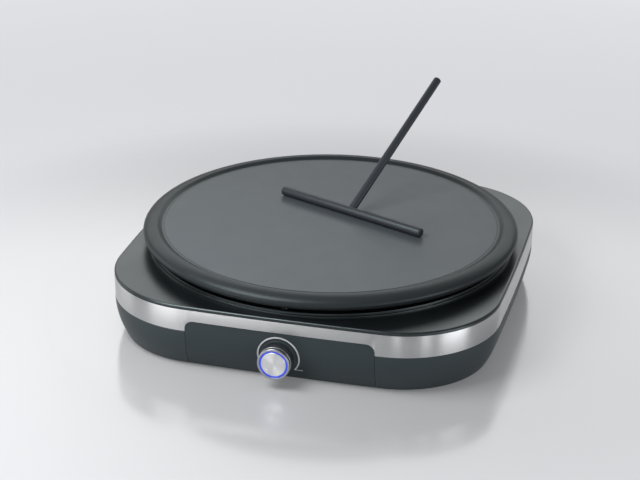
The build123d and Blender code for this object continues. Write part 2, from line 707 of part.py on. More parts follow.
with BuildPart() as control_panel:
    with BuildSketch(wall_section):
        with BuildLine():
            curl = section_arc(0, base_edge, belly)
            inner_curl = section_arc(wall, base_edge, belly)
            Polyline(curl @ 1, (0, panel_top), (-wall, panel_top), inner_curl @ 1)
            Line(inner_curl @ 0, curl @ 0)
        make_face()
    sweep(path=rim_path)
    extrude(panel_window(0), amount=housing_depth, mode=Mode.INTERSECT)
    pedestal_length = panel_back + pedestal_proud
    extrude(discs(facing_front(-panel_back), [(0, 0)], pedestal_radius), amount=pedestal_length)
    extrude(discs(facing_front(-panel_back), [(0, 0)], window_radius + window_fit),
            amount=pedestal_length, mode=Mode.SUBTRACT)
    for side in (-1, 1):
        tab_plane = Plane(origin=(side * tab_inner, front_y, 0), x_dir=(0, -1, 0), z_dir=(-1, 0, 0))
        with BuildSketch(tab_plane):
            with BuildLine():
                rib = section_arc(wall / 2, tab_bottom, belly)
                Polyline(rib @ 1, (-wall / 2, tab_top), (-tab_depth - tab_sheet, tab_top),
                         (-tab_depth - tab_sheet, tab_bottom), rib @ 0)
            make_face()
        extrude(amount=-side * tab_sheet)
        with BuildSketch(facing_front(-tab_depth - tab_sheet)):
            with Locations((side * (tab_inner + tab_outer) / 2, (tab_bottom + tab_top) / 2 - knob_height)):
                Rectangle(tab_outer - tab_inner, tab_top - tab_bottom)
            with Locations(*[(side * tab_screw_x, height - knob_height) for height in tab_screw_heights]):
                Circle(small_shank + screw_play, mode=Mode.SUBTRACT)
        extrude(amount=tab_sheet)
    skin = belly_inset(knob_height) + wall / 2
    for spots, radius, depth in ((bracket_spots, bracket_boss_radius, bracket_depth),
                                 (board_spots, board_post_radius, board_depth - board_thickness)):
        extrude(discs(facing_front(-depth), spots, radius), amount=depth - skin)
        extrude(discs(facing_front(-depth), spots, small_shank + thread_play), amount=depth - skin - 3.0,
                mode=Mode.SUBTRACT)
finish(control_panel, "control_panel")


def inward_screws(spots, depth, length):
    """Adds pan-head screws driven from inside towards the front, heads seated at a depth."""
    extrude(discs(facing_front(-depth), spots, small_head), amount=-small_head_height)
    extrude(discs(facing_front(-depth), spots, small_shank), amount=length)
    drive_slots(facing_front(-depth - small_head_height), spots, small_head * 1.1, drive_depth)


with BuildPart() as panel_screws:
    inward_screws([(s * tab_screw_x, h - knob_height) for s in (-1, 1) for h in tab_screw_heights],
                  tab_depth + tab_sheet, tab_sheet + 4.0)
finish(panel_screws, "panel_screws")

with BuildPart() as dial_arc:
    with BuildSketch(wall_section):
        with BuildLine():
            under = section_arc(0, base_edge + 1, belly)
            over = section_arc(-arc_print, base_edge + 1, belly)
            Polyline(under @ 1, (0, panel_top - 1), (arc_print, panel_top - 1), over @ 1)
            Line(over @ 0, under @ 0)
        make_face()
    sweep(path=rim_path)
    arc_end = radians(arc_start - arc_span)
    with BuildSketch(facing_front(0)):
        with BuildLine() as arc_path:
            CenterArc((0, 0), arc_radius, arc_start, -arc_span)
        SlotArc(arc_path.edge(), arc_line)
        with Locations((arc_radius * cos(arc_end) - arc_line / 2, arc_radius * sin(arc_end) - arc_line / 2)):
            Rectangle(tick_length, tick_line, align=(Align.MIN, Align.CENTER))
    extrude(amount=panel_back, both=True, mode=Mode.INTERSECT)
finish(dial_arc, "dial_arc")


def turned(*corners):
    """Revolves a closed polygon of (radius, proud) corners about the knob's axis."""
    with BuildSketch(knob_section) as section:
        with BuildLine():
            Polyline(*corners, close=True)
        make_face()
    revolve(section.sketch, axis=knob_axis)


with BuildPart() as light_window:
    turned((window_bore, pedestal_proud - 0.2), (window_radius, pedestal_proud - 0.2),
           (window_radius, -panel_back), (window_flange_radius, -panel_back),
           (window_flange_radius, -panel_back - window_flange), (window_bore, -panel_back - window_flange))
finish(light_window, "light_window")

with BuildPart() as lamp_board:
    with BuildSketch(facing_front(-board_depth)):
        Circle(board_radius)
        SlotOverall(board_ear_span, board_ear)
        Circle(board_bore, mode=Mode.SUBTRACT)
        with Locations(*board_spots):
            Circle(small_shank + screw_play, mode=Mode.SUBTRACT)
    extrude(amount=board_thickness)
finish(lamp_board, "lamp_board")

with BuildPart() as lamps:
    with BuildSketch(facing_front(-board_depth + board_thickness)):
        with PolarLocations(lamp_circle, lamp_count, 30):
            Circle(lamp_radius)
    extrude(amount=lamp_length)
    fillet(edges().group_by(Axis.Y)[0], lamp_radius * 0.5)
finish(lamps, "lamps")

# ================================================================ knob
knob_rear = pedestal_proud + knob_clearance
bezel_rear = knob_proud - bezel_depth
ring_front = knob_proud - band_ring_front
ring_rear = ring_front - band_ring_depth
light_rear = knob_rear + skirt_lip
core_rear = light_rear + light_flange
sleeve = light_outer + light_fit
core = light_inner - light_fit
core_inner = core - core_wall
cap_rear = knob_proud - cap_sink - cap_thickness

with BuildPart() as knob_skirt:
    turned((sleeve - skirt_lip, knob_rear), (neck_radius, knob_rear), (neck_radius, knob_rear + neck_length),
           (skirt_radius, knob_rear + neck_length), (skirt_radius, ring_rear), (groove_radius, ring_rear),
           (groove_radius, bezel_rear), (sleeve, bezel_rear), (sleeve, light_rear),
           (sleeve - skirt_lip, light_rear))
finish(knob_skirt, "knob_skirt")

with BuildPart() as knob_ring:
    turned((groove_radius, ring_rear), (knob_radius, ring_rear), (knob_radius, ring_front),
           (groove_radius, ring_front))
    fillet(edges().filter_by(GeomType.CIRCLE).sort_by(SortBy.RADIUS)[-2:], 0.3)
finish(knob_ring, "knob_ring")

with BuildPart() as knob_bezel:
    turned((sleeve, bezel_rear), (knob_radius, bezel_rear), (knob_radius, knob_proud), (sleeve, knob_proud))
    fillet(edges().group_by(Axis.Y)[0].sort_by(SortBy.RADIUS)[-1], bezel_round)
finish(knob_bezel, "knob_bezel")

with BuildPart() as light_ring:
    turned((core_inner, light_rear), (light_outer, light_rear), (light_outer, knob_proud - light_sink),
           (light_inner, knob_proud - light_sink), (light_inner, core_rear), (core_inner, core_rear))
finish(light_ring, "light_ring")

with BuildPart() as knob_core:
    turned((0, knob_rear), (hub_radius, knob_rear), (hub_radius, cap_rear - web_thickness),
           (core_inner, cap_rear - web_thickness), (core_inner, core_rear), (core, core_rear),
           (core, cap_rear), (0, cap_rear))
    with BuildSketch(facing_front(knob_rear)):
        Circle(spindle_radius + running_fit)
        with Locations((0, spindle_flat + running_fit)):
            Rectangle(2 * hub_radius, hub_radius, align=(Align.CENTER, Align.MIN), mode=Mode.SUBTRACT)
    extrude(amount=spindle_front - knob_rear, mode=Mode.SUBTRACT)
finish(knob_core, "knob_core")

with BuildPart() as knob_cap:
    cap_front = cap_rear + cap_thickness
    turned((0, cap_rear), (core, cap_rear), (core, cap_front), (0, cap_front))
    chamfer(edges().group_by(Axis.Y)[0], cap_chamfer)
    dimple_spot = (dimple_circle * cos(radians(arc_start)), dimple_circle * sin(radians(arc_start)))
    extrude(discs(facing_front(cap_front), [dimple_spot], dimple_radius), amount=-dimple_depth,
            mode=Mode.SUBTRACT)
finish(knob_cap, "knob_cap")

with BuildPart() as knob_clip:
    with BuildSketch(facing_front(knob_rear + clip_thickness)):
        Circle(hub_radius + running_fit + clip_thickness)
        Circle(hub_radius + running_fit, mode=Mode.SUBTRACT)
        with Locations((0, -hub_radius)):
            Rectangle(clip_gap, hub_radius, mode=Mode.SUBTRACT)
    extrude(amount=clip_length)
finish(knob_clip, "knob_clip")

with BuildPart() as spindle:
    extrude(discs(facing_front(-spindle_rear), [(0, 0)], spindle_radius), amount=spindle_rear + spindle_front)
    with BuildSketch(facing_front(spindle_front)):
        with Locations((0, spindle_flat)):
            Rectangle(2 * hub_radius, spindle_radius, align=(Align.CENTER, Align.MIN))
    extrude(amount=-(spindle_front + collar_front - collar_length), mode=Mode.SUBTRACT)
    extrude(discs(facing_front(-collar_front), [(0, 0)], collar_radius), amount=-collar_length)
    with BuildSketch(facing_front(-retainer_depth)):
        Circle(spindle_radius + running_fit)
        Circle(retainer_bore, mode=Mode.SUBTRACT)
    extrude(amount=-retainer_thickness, mode=Mode.SUBTRACT)
finish(spindle, "spindle")

with BuildPart() as spindle_retainer:
    with BuildSketch(facing_front(-retainer_depth)):
        Circle(retainer_radius)
        Circle(retainer_bore + running_fit, mode=Mode.SUBTRACT)
        with Locations((0, -retainer_radius)):
            Rectangle(2 * retainer_bore, retainer_radius, mode=Mode.SUBTRACT)
    extrude(amount=-retainer_thickness)
finish(spindle_retainer, "spindle_retainer")

# ================================================================ thermostat
case_front = bracket_depth + bracket_thickness
case_rear = case_front + case_length
case_inner = case_radius - case_wall
bush_seat = case_front + case_wall
bush_rear = bush_seat + bush_flange
bush_bore = spindle_radius + running_fit
diaphragm_rear = case_rear - case_wall - diaphragm_post_length

with BuildPart() as thermostat_bracket:
    with BuildSketch(facing_front(-bracket_depth)):
        RectangleRounded(bracket_width, bracket_height, 3.0)
        Circle(bush_radius + screw_play, mode=Mode.SUBTRACT)
        with Locations(*bracket_spots):
            Circle(small_shank + screw_play, mode=Mode.SUBTRACT)
    extrude(amount=-bracket_thickness)
finish(thermostat_bracket, "thermostat_bracket")

with BuildPart() as control_screws:
    inward_screws(bracket_spots, case_front, bracket_thickness + 6.0)
    inward_screws(board_spots, board_depth, board_thickness + 4.5)
finish(control_screws, "control_screws")

with BuildPart() as thermostat_bush:
    turned((bush_bore, -bush_front), (bush_radius, -bush_front), (bush_radius, -bush_seat),
           (bush_flange_radius, -bush_seat), (bush_flange_radius, -bush_rear), (bush_bore, -bush_rear))
finish(thermostat_bush, "thermostat_bush")

with BuildPart() as thermostat_nut:
    with BuildSketch(facing_front(-bracket_depth)):
        RegularPolygon(nut_flats / 2, 6, major_radius=False)
        Circle(bush_radius + thread_play, mode=Mode.SUBTRACT)
    extrude(amount=nut_thickness)
finish(thermostat_nut, "thermostat_nut")

blade_spots = [(0, -blade_offset), (0, blade_offset)]
with BuildPart() as thermostat_case:
    mouth, capillary_hole = bush_radius + screw_play, capillary_radius + seam
    turned((mouth, -case_front), (case_radius, -case_front), (case_radius, -case_rear),
           (capillary_hole, -case_rear), (capillary_hole, case_wall - case_rear),
           (case_inner, case_wall - case_rear), (case_inner, -bush_seat), (mouth, -bush_seat))
    with BuildSketch(facing_front(-case_rear)):
        with Locations(*blade_spots):
            Rectangle(blade_width + 0.1, blade_thickness + 0.1)
    extrude(amount=case_wall, mode=Mode.SUBTRACT)
finish(thermostat_case, "thermostat_case")

with BuildPart() as thermostat_adjuster:
    rear, bore_end = adjuster_front + adjuster_length, adjuster_front + adjuster_bore_depth
    turned((bush_bore, -adjuster_front), (adjuster_radius, -adjuster_front), (adjuster_radius, -rear),
           (adjuster_tip_radius, -rear), (adjuster_tip_radius, -rear - adjuster_tip),
           (0, -rear - adjuster_tip), (0, -bore_end), (bush_bore, -bore_end))
finish(thermostat_adjuster, "thermostat_adjuster")

with BuildPart() as thermostat_diaphragm:
    diaphragm_front = diaphragm_thickness - diaphragm_rear
    turned((0, diaphragm_front), (diaphragm_radius, diaphragm_front),
           (diaphragm_radius, -diaphragm_rear), (diaphragm_post, -diaphragm_rear),
           (diaphragm_post, case_wall - case_rear), (0, case_wall - case_rear))
finish(thermostat_diaphragm, "thermostat_diaphragm")

with BuildPart() as thermostat_blades:
    inner_end = case_wall + blade_thickness
    with BuildSketch(facing_front(inner_end - case_rear)):
        with Locations(*blade_spots):
            Rectangle(blade_width, blade_thickness)
    extrude(amount=-(inner_end + blade_length))
finish(thermostat_blades, "thermostat_blades")


def inside(depth):
    """Distance from the plate's axis along Y of a depth behind the housing's front."""
    return depth - half_depth


with BuildPart() as capillary_tube:
    round_wire([(0, inside(case_rear - case_wall), knob_height),
                (0, inside(case_rear + capillary_run), knob_height),
                (capillary_x, bulb_y - capillary_lead, knob_height + capillary_climb),
                (capillary_x, bulb_y, knob_height + 1.5 * capillary_climb),
                (capillary_x, bulb_y, bulb_height), (bulb_length / 2, bulb_y, bulb_height)],
               capillary_radius, capillary_bend)
finish(capillary_tube, "capillary_tube")


def lying(y, height, length):
    """Plane at the left end of something that lies along X, centred under the plate."""
    return Plane(origin=(-length / 2, centre_y + y, height), x_dir=(0, 1, 0), z_dir=(1, 0, 0))


with BuildPart() as sensor_bulb:
    extrude(discs(lying(bulb_y, bulb_height, bulb_length), [(0, 0)], bulb_radius), amount=bulb_length)
    fillet(edges().group_by(Axis.X)[0], 1.0)
finish(sensor_bulb, "sensor_bulb")

with BuildPart() as thermal_fuse:
    round_wire([(lead_x, fuse_y, fuse_lead_bottom), (lead_x, fuse_y, fuse_height),
                (-lead_x, fuse_y, fuse_height), (-lead_x, fuse_y, fuse_lead_bottom)],
               fuse_lead_radius, fuse_lead_bend)
    extrude(discs(lying(fuse_y, fuse_height, fuse_length), [(0, 0)], fuse_radius), amount=fuse_length)
finish(thermal_fuse, "thermal_fuse")

with BuildPart() as saddle_clips:
    for y, height, radius in ((bulb_y, bulb_height, bulb_radius), (fuse_y, fuse_height, fuse_radius)):
        with BuildSketch(lying(y, height, clip_width)):
            Circle(radius + bulb_fit + clip_sheet)
            with Locations((0, -clip_sheet / 2)):
                Rectangle(2 * clip_flange, clip_sheet)
            Circle(radius + bulb_fit, mode=Mode.SUBTRACT)
            Rectangle(2 * clip_flange, 2 * clip_flange, align=(Align.CENTER, Align.MIN), mode=Mode.SUBTRACT)
        extrude(amount=clip_width)
    for height, spots, grip in saddle_seats:
        extrude(discs(level(height), spots, small_shank + screw_play), amount=-grip, mode=Mode.SUBTRACT)
finish(saddle_clips, "saddle_clips")

# ================================================================ wiring
way_x = [gland_x + (i - 2) * block_pitch for i in range(5)]
block_front = block_y - block_depth / 2
way_height = block_seat + block_height / 2
way_end = block_front + way_depth
element_tip = cold_end_bottom - terminal_length
element_plug = element_tip + connector_overlap - connector_length
blade_tip = case_rear + blade_length
blade_plug = blade_tip - connector_overlap + connector_length

with BuildPart() as terminal_block:
    with BuildSketch(level(block_seat)):
        with Locations((gland_x, block_y)):
            RectangleRounded(block_width, block_depth, 1.5)
        with Locations(*block_post_spots):
            Circle(small_shank + screw_play, mode=Mode.SUBTRACT)
    extrude(amount=block_height)
    ways = Plane(origin=(0, centre_y + block_front, way_height), x_dir=(1, 0, 0), z_dir=(0, -1, 0))
    extrude(discs(ways, [(x, 0) for x in way_x], block_bore), amount=-way_depth, mode=Mode.SUBTRACT)
finish(terminal_block, "terminal_block")

with BuildPart() as block_screws:
    upright_screws(block_post_spots, block_seat + block_height, small_head, small_head_height, small_shank,
                   block_height + 4.0)
finish(block_screws, "block_screws")

with BuildPart() as spade_connectors:
    for plane, spots in ((level(element_plug), element_spots), (facing_front(-blade_plug), blade_spots)):
        with BuildSketch(plane):
            with Locations(*spots):
                Rectangle(connector_width, connector_depth)
        extrude(amount=connector_length)
        with BuildSketch(plane.offset(connector_length)):
            with Locations(*spots):
                Rectangle(blade_width + 0.1, blade_thickness + 0.1)
        extrude(amount=-connector_overlap, mode=Mode.SUBTRACT)
finish(spade_connectors, "spade_connectors")

with BuildPart() as earth_tag:
    with BuildSketch(level(pan_floor)):
        with Locations((earth_x, earth_y - earth_crimp / 2)):
            SlotOverall(18.0, 8.0, rotation=90)
        with Locations(earth_spot):
            Circle(small_shank + screw_play, mode=Mode.SUBTRACT)
    extrude(amount=-tag_sheet)
finish(earth_tag, "earth_tag")

leg_right, leg_left = [sorted(element_spots)[i] for i in (1, 0)]
crimp_y = earth_y - earth_crimp
lamp_x, lamp_top = -0.4 * board_radius, knob_height + lamp_circle + 0.2
wire_routes = {
    "wire_live": [(way_x[2], way_end, way_height), (way_x[2], way_end - way_run - 2, way_height),
                  (0.39 * half_width, 0, way_height - 2),
                  (0.13 * half_width, -0.4 * half_depth, knob_height + 1),
                  (0, inside(blade_plug) + 2.5 * wire_bend, knob_height + blade_offset),
                  (0, inside(blade_plug), knob_height + blade_offset)],
    "wire_switched": [(0, inside(blade_plug), knob_height - blade_offset),
                      (0, inside(blade_plug) + 3 * wire_bend, knob_height - blade_offset),
                      (0.24 * half_width, -0.12 * half_depth, wire_low), (0.21 * half_width, 60, wire_low),
                      (*leg_right, wire_low - 2), (*leg_right, element_plug)],
    "wire_neutral": [(way_x[1], way_end, way_height), (way_x[1], way_end - way_run + 2, way_height),
                     (way_x[1] - 2.3 * wire_bend, fuse_y + 1.2 * wire_bend, way_height + 2),
                     (lead_x, fuse_y, way_height + 0.7 * wire_bend),
                     (lead_x, fuse_y, fuse_lead_bottom)],
    "wire_fused": [(-lead_x, fuse_y, fuse_lead_bottom), (-lead_x, fuse_y, way_height),
                   (*leg_left, wire_low - 2), (*leg_left, element_plug)],
    "wire_earth": [(way_x[4], way_end, way_height), (way_x[4], way_end - way_run, way_height),
                   (earth_x, earth_y + 1.3 * wire_bend, way_height + 0.7 * wire_bend),
                   (earth_x, crimp_y, way_height + 1.1 * wire_bend),
                   (earth_x, crimp_y, pan_floor - tag_sheet)],
    "wire_lamp": [(way_x[0], way_end, way_height), (way_x[0], way_end - way_run + wire_bend, way_height),
                  (0.05 * half_width, way_end - way_run - wire_bend, way_height + 4),
                  (-0.18 * half_width, 58, way_height + 4), (-0.25 * half_width, -60, knob_height - 1),
                  (-lamp_wire_side, inside(case_rear + 2), lamp_top + 1),
                  (-lamp_wire_side, inside(board_depth + lamp_wire_run + lamp_wire_gap), lamp_top),
                  (lamp_x, inside(board_depth + lamp_wire_run), lamp_top),
                  (lamp_x, inside(board_depth), lamp_top)],
}
for wire_name, points in wire_routes.items():
    thin = wire_name == "wire_lamp"
    with BuildPart() as wire:
        round_wire(points, lamp_wire_radius if thin else wire_radius, lamp_wire_bend if thin else wire_bend)
    finish(wire, wire_name)

# ================================================================ spreader
turn = radians(bar_turn)
along = Vector(cos(turn), sin(turn), 0)
across = Vector(-sin(turn), cos(turn), 0)
bar_height = cooking_height + rest_gap + bar_radius
tilt = radians(handle_tilt)
handle_way = across * cos(tilt) + Vector(0, 0, sin(tilt))
bar_middle = Vector(bar_x, centre_y + bar_y, bar_height)
notch_face = bar_radius - notch_depth
notch_plane = Plane(origin=bar_middle + handle_way * notch_face, x_dir=along, z_dir=handle_way)

with BuildPart() as spreader_bar:
    bar_end = Plane(origin=bar_middle - along * (bar_length / 2), z_dir=along)
    extrude(discs(bar_end, [(0, 0)], bar_radius), amount=bar_length)
    fillet(edges().filter_by(GeomType.CIRCLE), bar_end_round)
    with BuildSketch(notch_plane):
        Rectangle(notch_width, 4 * bar_radius)
    extrude(amount=2 * notch_depth, mode=Mode.SUBTRACT)
    extrude(discs(notch_plane, [(0, 0)], spigot_radius + handle_fit), amount=-spigot_length,
            mode=Mode.SUBTRACT)
finish(spreader_bar, "spreader_bar")

with BuildPart() as spreader_handle:
    extrude(discs(notch_plane, [(0, 0)], handle_radius), amount=handle_length - notch_face)
    fillet(edges().sort_by(Axis.Y)[-1], handle_end_round)
    extrude(discs(notch_plane, [(0, 0)], spigot_radius), amount=-(spigot_length - 0.1))
finish(spreader_handle, "spreader_handle")
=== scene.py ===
"""Looks of an electric crepe maker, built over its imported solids."""

import json
import logging
import math
from dataclasses import dataclass, field
from enum import Enum
from typing import Callable, Optional, Sequence

import bmesh
import bpy
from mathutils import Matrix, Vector


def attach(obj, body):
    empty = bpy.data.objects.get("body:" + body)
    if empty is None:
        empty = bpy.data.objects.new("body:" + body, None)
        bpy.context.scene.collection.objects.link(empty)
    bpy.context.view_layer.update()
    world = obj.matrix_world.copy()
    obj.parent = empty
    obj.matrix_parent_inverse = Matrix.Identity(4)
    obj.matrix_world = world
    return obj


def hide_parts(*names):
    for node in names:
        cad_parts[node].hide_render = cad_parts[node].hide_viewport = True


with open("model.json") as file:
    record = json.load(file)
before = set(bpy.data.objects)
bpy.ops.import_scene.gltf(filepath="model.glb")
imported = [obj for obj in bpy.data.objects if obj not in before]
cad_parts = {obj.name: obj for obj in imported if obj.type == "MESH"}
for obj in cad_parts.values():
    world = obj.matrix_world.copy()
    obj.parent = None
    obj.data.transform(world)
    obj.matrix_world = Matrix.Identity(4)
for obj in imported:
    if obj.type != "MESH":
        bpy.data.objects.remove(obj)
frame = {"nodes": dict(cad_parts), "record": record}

MM = 0.001
CENTRE_Y = 5.75
NEAR_AXIS = 0.001
CUT_TOLERANCE = 1e-6
NOISE_SPAN = (0.25, 0.75)
WAVE_UNITS = 20
LOG = logging.getLogger("crepe_maker")

Point2 = tuple[float, float]
Point3 = tuple[float, float, float]
Colour = tuple[float, float, float]
Circle = tuple[float, int, float]
Placing = Callable[[float, float, float], Point3]
Socket = bpy.types.NodeSocket


# ------------------------------------------------------------------ points
def spaced(start: float, end: float, steps: int) -> list[float]:
    """Evenly spaced values from the start to the end, with both."""
    return [start + (end - start) * i / steps for i in range(steps + 1)]


def polar(radius: float, degrees: float, centre: Point2 = (0.0, 0.0)) -> Point2:
    """Point at a radius and an angle in degrees round a centre."""
    a = math.radians(degrees)
    return centre[0] + radius * math.cos(a), centre[1] + radius * math.sin(a)


def polar_spots(circle: Circle) -> list[Point2]:
    """Points on a circle of a radius, a count and a first angle in degrees."""
    radius, count, start = circle
    return [polar(radius, start + 360 / count * i) for i in range(count)]


def towards(centre: Point2, radius: float, point: Point2) -> Point2:
    """Where the way from a centre to a point crosses a circle round the centre."""
    angle = math.atan2(point[1] - centre[1], point[0] - centre[0])
    return centre[0] + radius * math.cos(angle), centre[1] + radius * math.sin(angle)


def shoulder(end: float, height: float, radius: float, steps: int = 5) -> list[Point2]:
    """Points round the quarter that leads a rod's side over into its end.

    Args:
        end: Where the rod ends.
        height: Height of its side over its axis.
        radius: Radius of the rounding.
        steps: Number of chords.

    Returns:
        The points as (distance along, height).
    """
    angles = [math.radians(a) for a in spaced(0.0, 90.0, steps)]
    return [(end - radius + radius * math.sin(a), height - radius + radius * math.cos(a))
            for a in angles]


def bend(start: float, radius: float, steps: int) -> list[float]:
    """Distances along a rounded corner that close up towards its end."""
    return [start + radius * math.sin(math.radians(a)) for a in spaced(0.0, 90.0, steps)[1:]]


def arch(x: float, half: float, top: float, corner: float) -> float:
    """Height of an arch with rounded corners.

    Args:
        x: Distance from its middle.
        half: Half its width.
        top: Its height in the middle.
        corner: Radius of its corners.

    Returns:
        Height above the floor.
    """
    run = abs(x) - (half - corner)
    if run <= 0:
        return top
    return top - corner + math.sqrt(max(corner**2 - run**2, 0.0))


def rectangle(near: Point2, far: Point2, steps: int) -> list[Point2]:
    """Points round a rectangle, evenly spaced on each side.

    Args:
        near: First corner.
        far: Corner opposite to it.
        steps: Number of chords on each side.

    Returns:
        The points in order.
    """
    corners = [near, (far[0], near[1]), far, (near[0], far[1]), near]
    out: list[Point2] = []
    for (x0, y0), (x1, y1) in zip(corners, corners[1:]):
        out += list(zip(spaced(x0, x1, steps), spaced(y0, y1, steps)))[:-1]
    return out


def rounded(corners: Sequence[Point3], closed: bool = True, steps: int = 5) -> list[Point2]:
    """Points of a polyline whose corners are rounded.

    Args:
        corners: (x, y, radius) of each corner.
        closed: Whether the last corner joins the first.
        steps: Number of chords in each rounding.

    Returns:
        The points in order.
    """
    out: list[Point2] = []
    count = len(corners)
    for i, (x, y, radius) in enumerate(corners):
        if radius <= 0 or (not closed and i in (0, count - 1)):
            out.append((x, y))
            continue
        here = Vector((x, y))
        back = (Vector(corners[i - 1][:2]) - here).normalized()
        ahead = (Vector(corners[(i + 1) % count][:2]) - here).normalized()
        half = back.angle(ahead) / 2
        reach = radius / math.tan(half)
        middle = here + (back + ahead).normalized() * (radius / math.sin(half))
        start, end = here + back * reach - middle, here + ahead * reach - middle
        turn = start.angle_signed(end)
        for k in range(steps + 1):
            a = -turn * k / steps
            out.append((middle.x + start.x * math.cos(a) - start.y * math.sin(a),
                        middle.y + start.x * math.sin(a) + start.y * math.cos(a)))
    return out


def run_lengths(path: Sequence[Point3]) -> list[float]:
    """Running lengths along a row of points.

    Args:
        path: Points in order.

    Returns:
        One length per point, starting at 0.
    """
    total, out = 0.0, [0.0]
    for a, b in zip(path, path[1:]):
        total += math.dist(a, b)
        out.append(total)
    return out


# ------------------------------------------------------------------ meshes
@dataclass
class MeshDraft:
    """Collects the faces of one piece in millimetres, then turns them into an object."""

    name: str
    points: list[Point3] = field(default_factory=list)
    faces: list[tuple[int, ...]] = field(default_factory=list)
    maps: list[tuple[Point2, ...]] = field(default_factory=list)

    def grid(self, rings: Sequence[Sequence[Point3]], closed: bool = False,
             looped: bool = False) -> None:
        """Adds a skin of four-sided faces through a row of rings.

        Args:
            rings: Rows of points, each with the same count.
            closed: Whether each ring's last point joins its first.
            looped: Whether the last ring joins the first.
        """
        base, count = len(self.points), len(rings[0])
        for ring in rings:
            self.points.extend(ring)
        runs = run_lengths([ring[0] for ring in rings] + [rings[0][0]])
        spans = run_lengths([*rings[0], rings[0][0]])
        for i in range(len(rings) if looped else len(rings) - 1):
            here, after = base + i * count, base + (i + 1) % len(rings) * count
            for j in range(count if closed else count - 1):
                nxt = (j + 1) % count
                self.faces.append((here + j, here + nxt, after + nxt, after + j))
                u0, u1, v0, v1 = runs[i], runs[i + 1], spans[j], spans[j + 1]
                self.maps.append(((u0, v0), (u0, v1), (u1, v1), (u1, v0)))

    def lid(self, ring: Sequence[Point3]) -> None:
        """Adds one flat face over a ring of points.

        Args:
            ring: Points in order round the face.
        """
        base = len(self.points)
        self.points.extend(ring)
        self.faces.append(tuple(range(base, base + len(ring))))
        self.maps.append(tuple((p[0], p[1]) for p in ring))

    def capped(self, rings: Sequence[Sequence[Point3]]) -> None:
        """Adds a skin through closed rings, with a lid on its first and its last.

        Args:
            rings: Rows of points, each with the same count.
        """
        self.grid(rings, closed=True)
        self.lid(rings[0])
        self.lid(rings[-1])

    def lathe(self, profile: Sequence[Point2], place: Placing, count: int = 192,
              closed: bool = True) -> None:
        """Adds a profile of (radius, height) points turned about an axis.

        Args:
            profile: The (radius, height) points.
            place: Gives the point for a radius, an angle in radians and a height.
            count: Number of steps round the axis.
            closed: Whether the profile's last point joins its first.
        """
        angles = [2 * math.pi * i / count for i in range(count)]
        rings = [[place(r, a, h) for r, h in profile] for a in angles]
        self.grid(rings, closed=closed, looped=True)

    def build(self, crease: float = 32.0, weld: float = 0.0005) -> bpy.types.Object:
        """Makes the object, with faces turned outwards and edges over the crease angle sharp.

        Args:
            crease: Angle in degrees above which an edge stays sharp.
            weld: Distance in millimetres under which points are joined.

        Returns:
            The new object, linked to the scene.
        """
        mesh = bpy.data.meshes.new(self.name)
        mesh.from_pydata([tuple(c * MM for c in p) for p in self.points], [], self.faces)
        layer = mesh.uv_layers.new(name="run")
        flat = [(u * MM, v * MM) for face in self.maps for u, v in face]
        layer.data.foreach_set("uv", [c for pair in flat for c in pair])
        work = bmesh.new()
        work.from_mesh(mesh)
        bmesh.ops.remove_doubles(work, verts=work.verts, dist=weld * MM)
        bmesh.ops.dissolve_degenerate(work, edges=work.edges, dist=weld * MM)
        bmesh.ops.recalc_face_normals(work, faces=work.faces)
        work.to_mesh(mesh)
        work.free()
        mesh.shade_smooth()
        mesh.set_sharp_from_angle(angle=math.radians(crease))
        piece = bpy.data.objects.new(self.name, mesh)
        bpy.context.scene.collection.objects.link(piece)
        return piece


@dataclass(frozen=True)
class Boss:
    """Upright boss whose bore opens downwards: radii, height of its open end, bore's depth."""

    radius: float
    bore: float
    low: float
    depth: float
    steps: int = 40

    def add(self, draft: MeshDraft, spot: Point2, high: float) -> None:
        """Adds the boss at a spot counted from the plate's axis.

        Args:
            draft: Draft that takes the faces.
            spot: Where its axis stands.
            high: Height where it meets what carries it.
        """
        top = min(self.low + self.depth, high)
        profile = [(self.radius, high), (self.radius, self.low), (self.bore, self.low),
                   (self.bore, top), (NEAR_AXIS, top)]
        draft.lathe(profile, upright(*spot), count=self.steps, closed=False)


def upright(x: float = 0.0, y: float = 0.0) -> Placing:
    """Placing rule about an upright axis at a distance from the plate's axis."""
    return lambda r, a, h: (x + r * math.cos(a), CENTRE_Y + y + r * math.sin(a), h)


def facing(x: float, z: float) -> Placing:
    """Placing rule about an axis along Y; heights count forwards from the housing's front."""
    return lambda r, a, h: (x + r * math.cos(a), OUTLINE.front_y - h, z + r * math.sin(a))


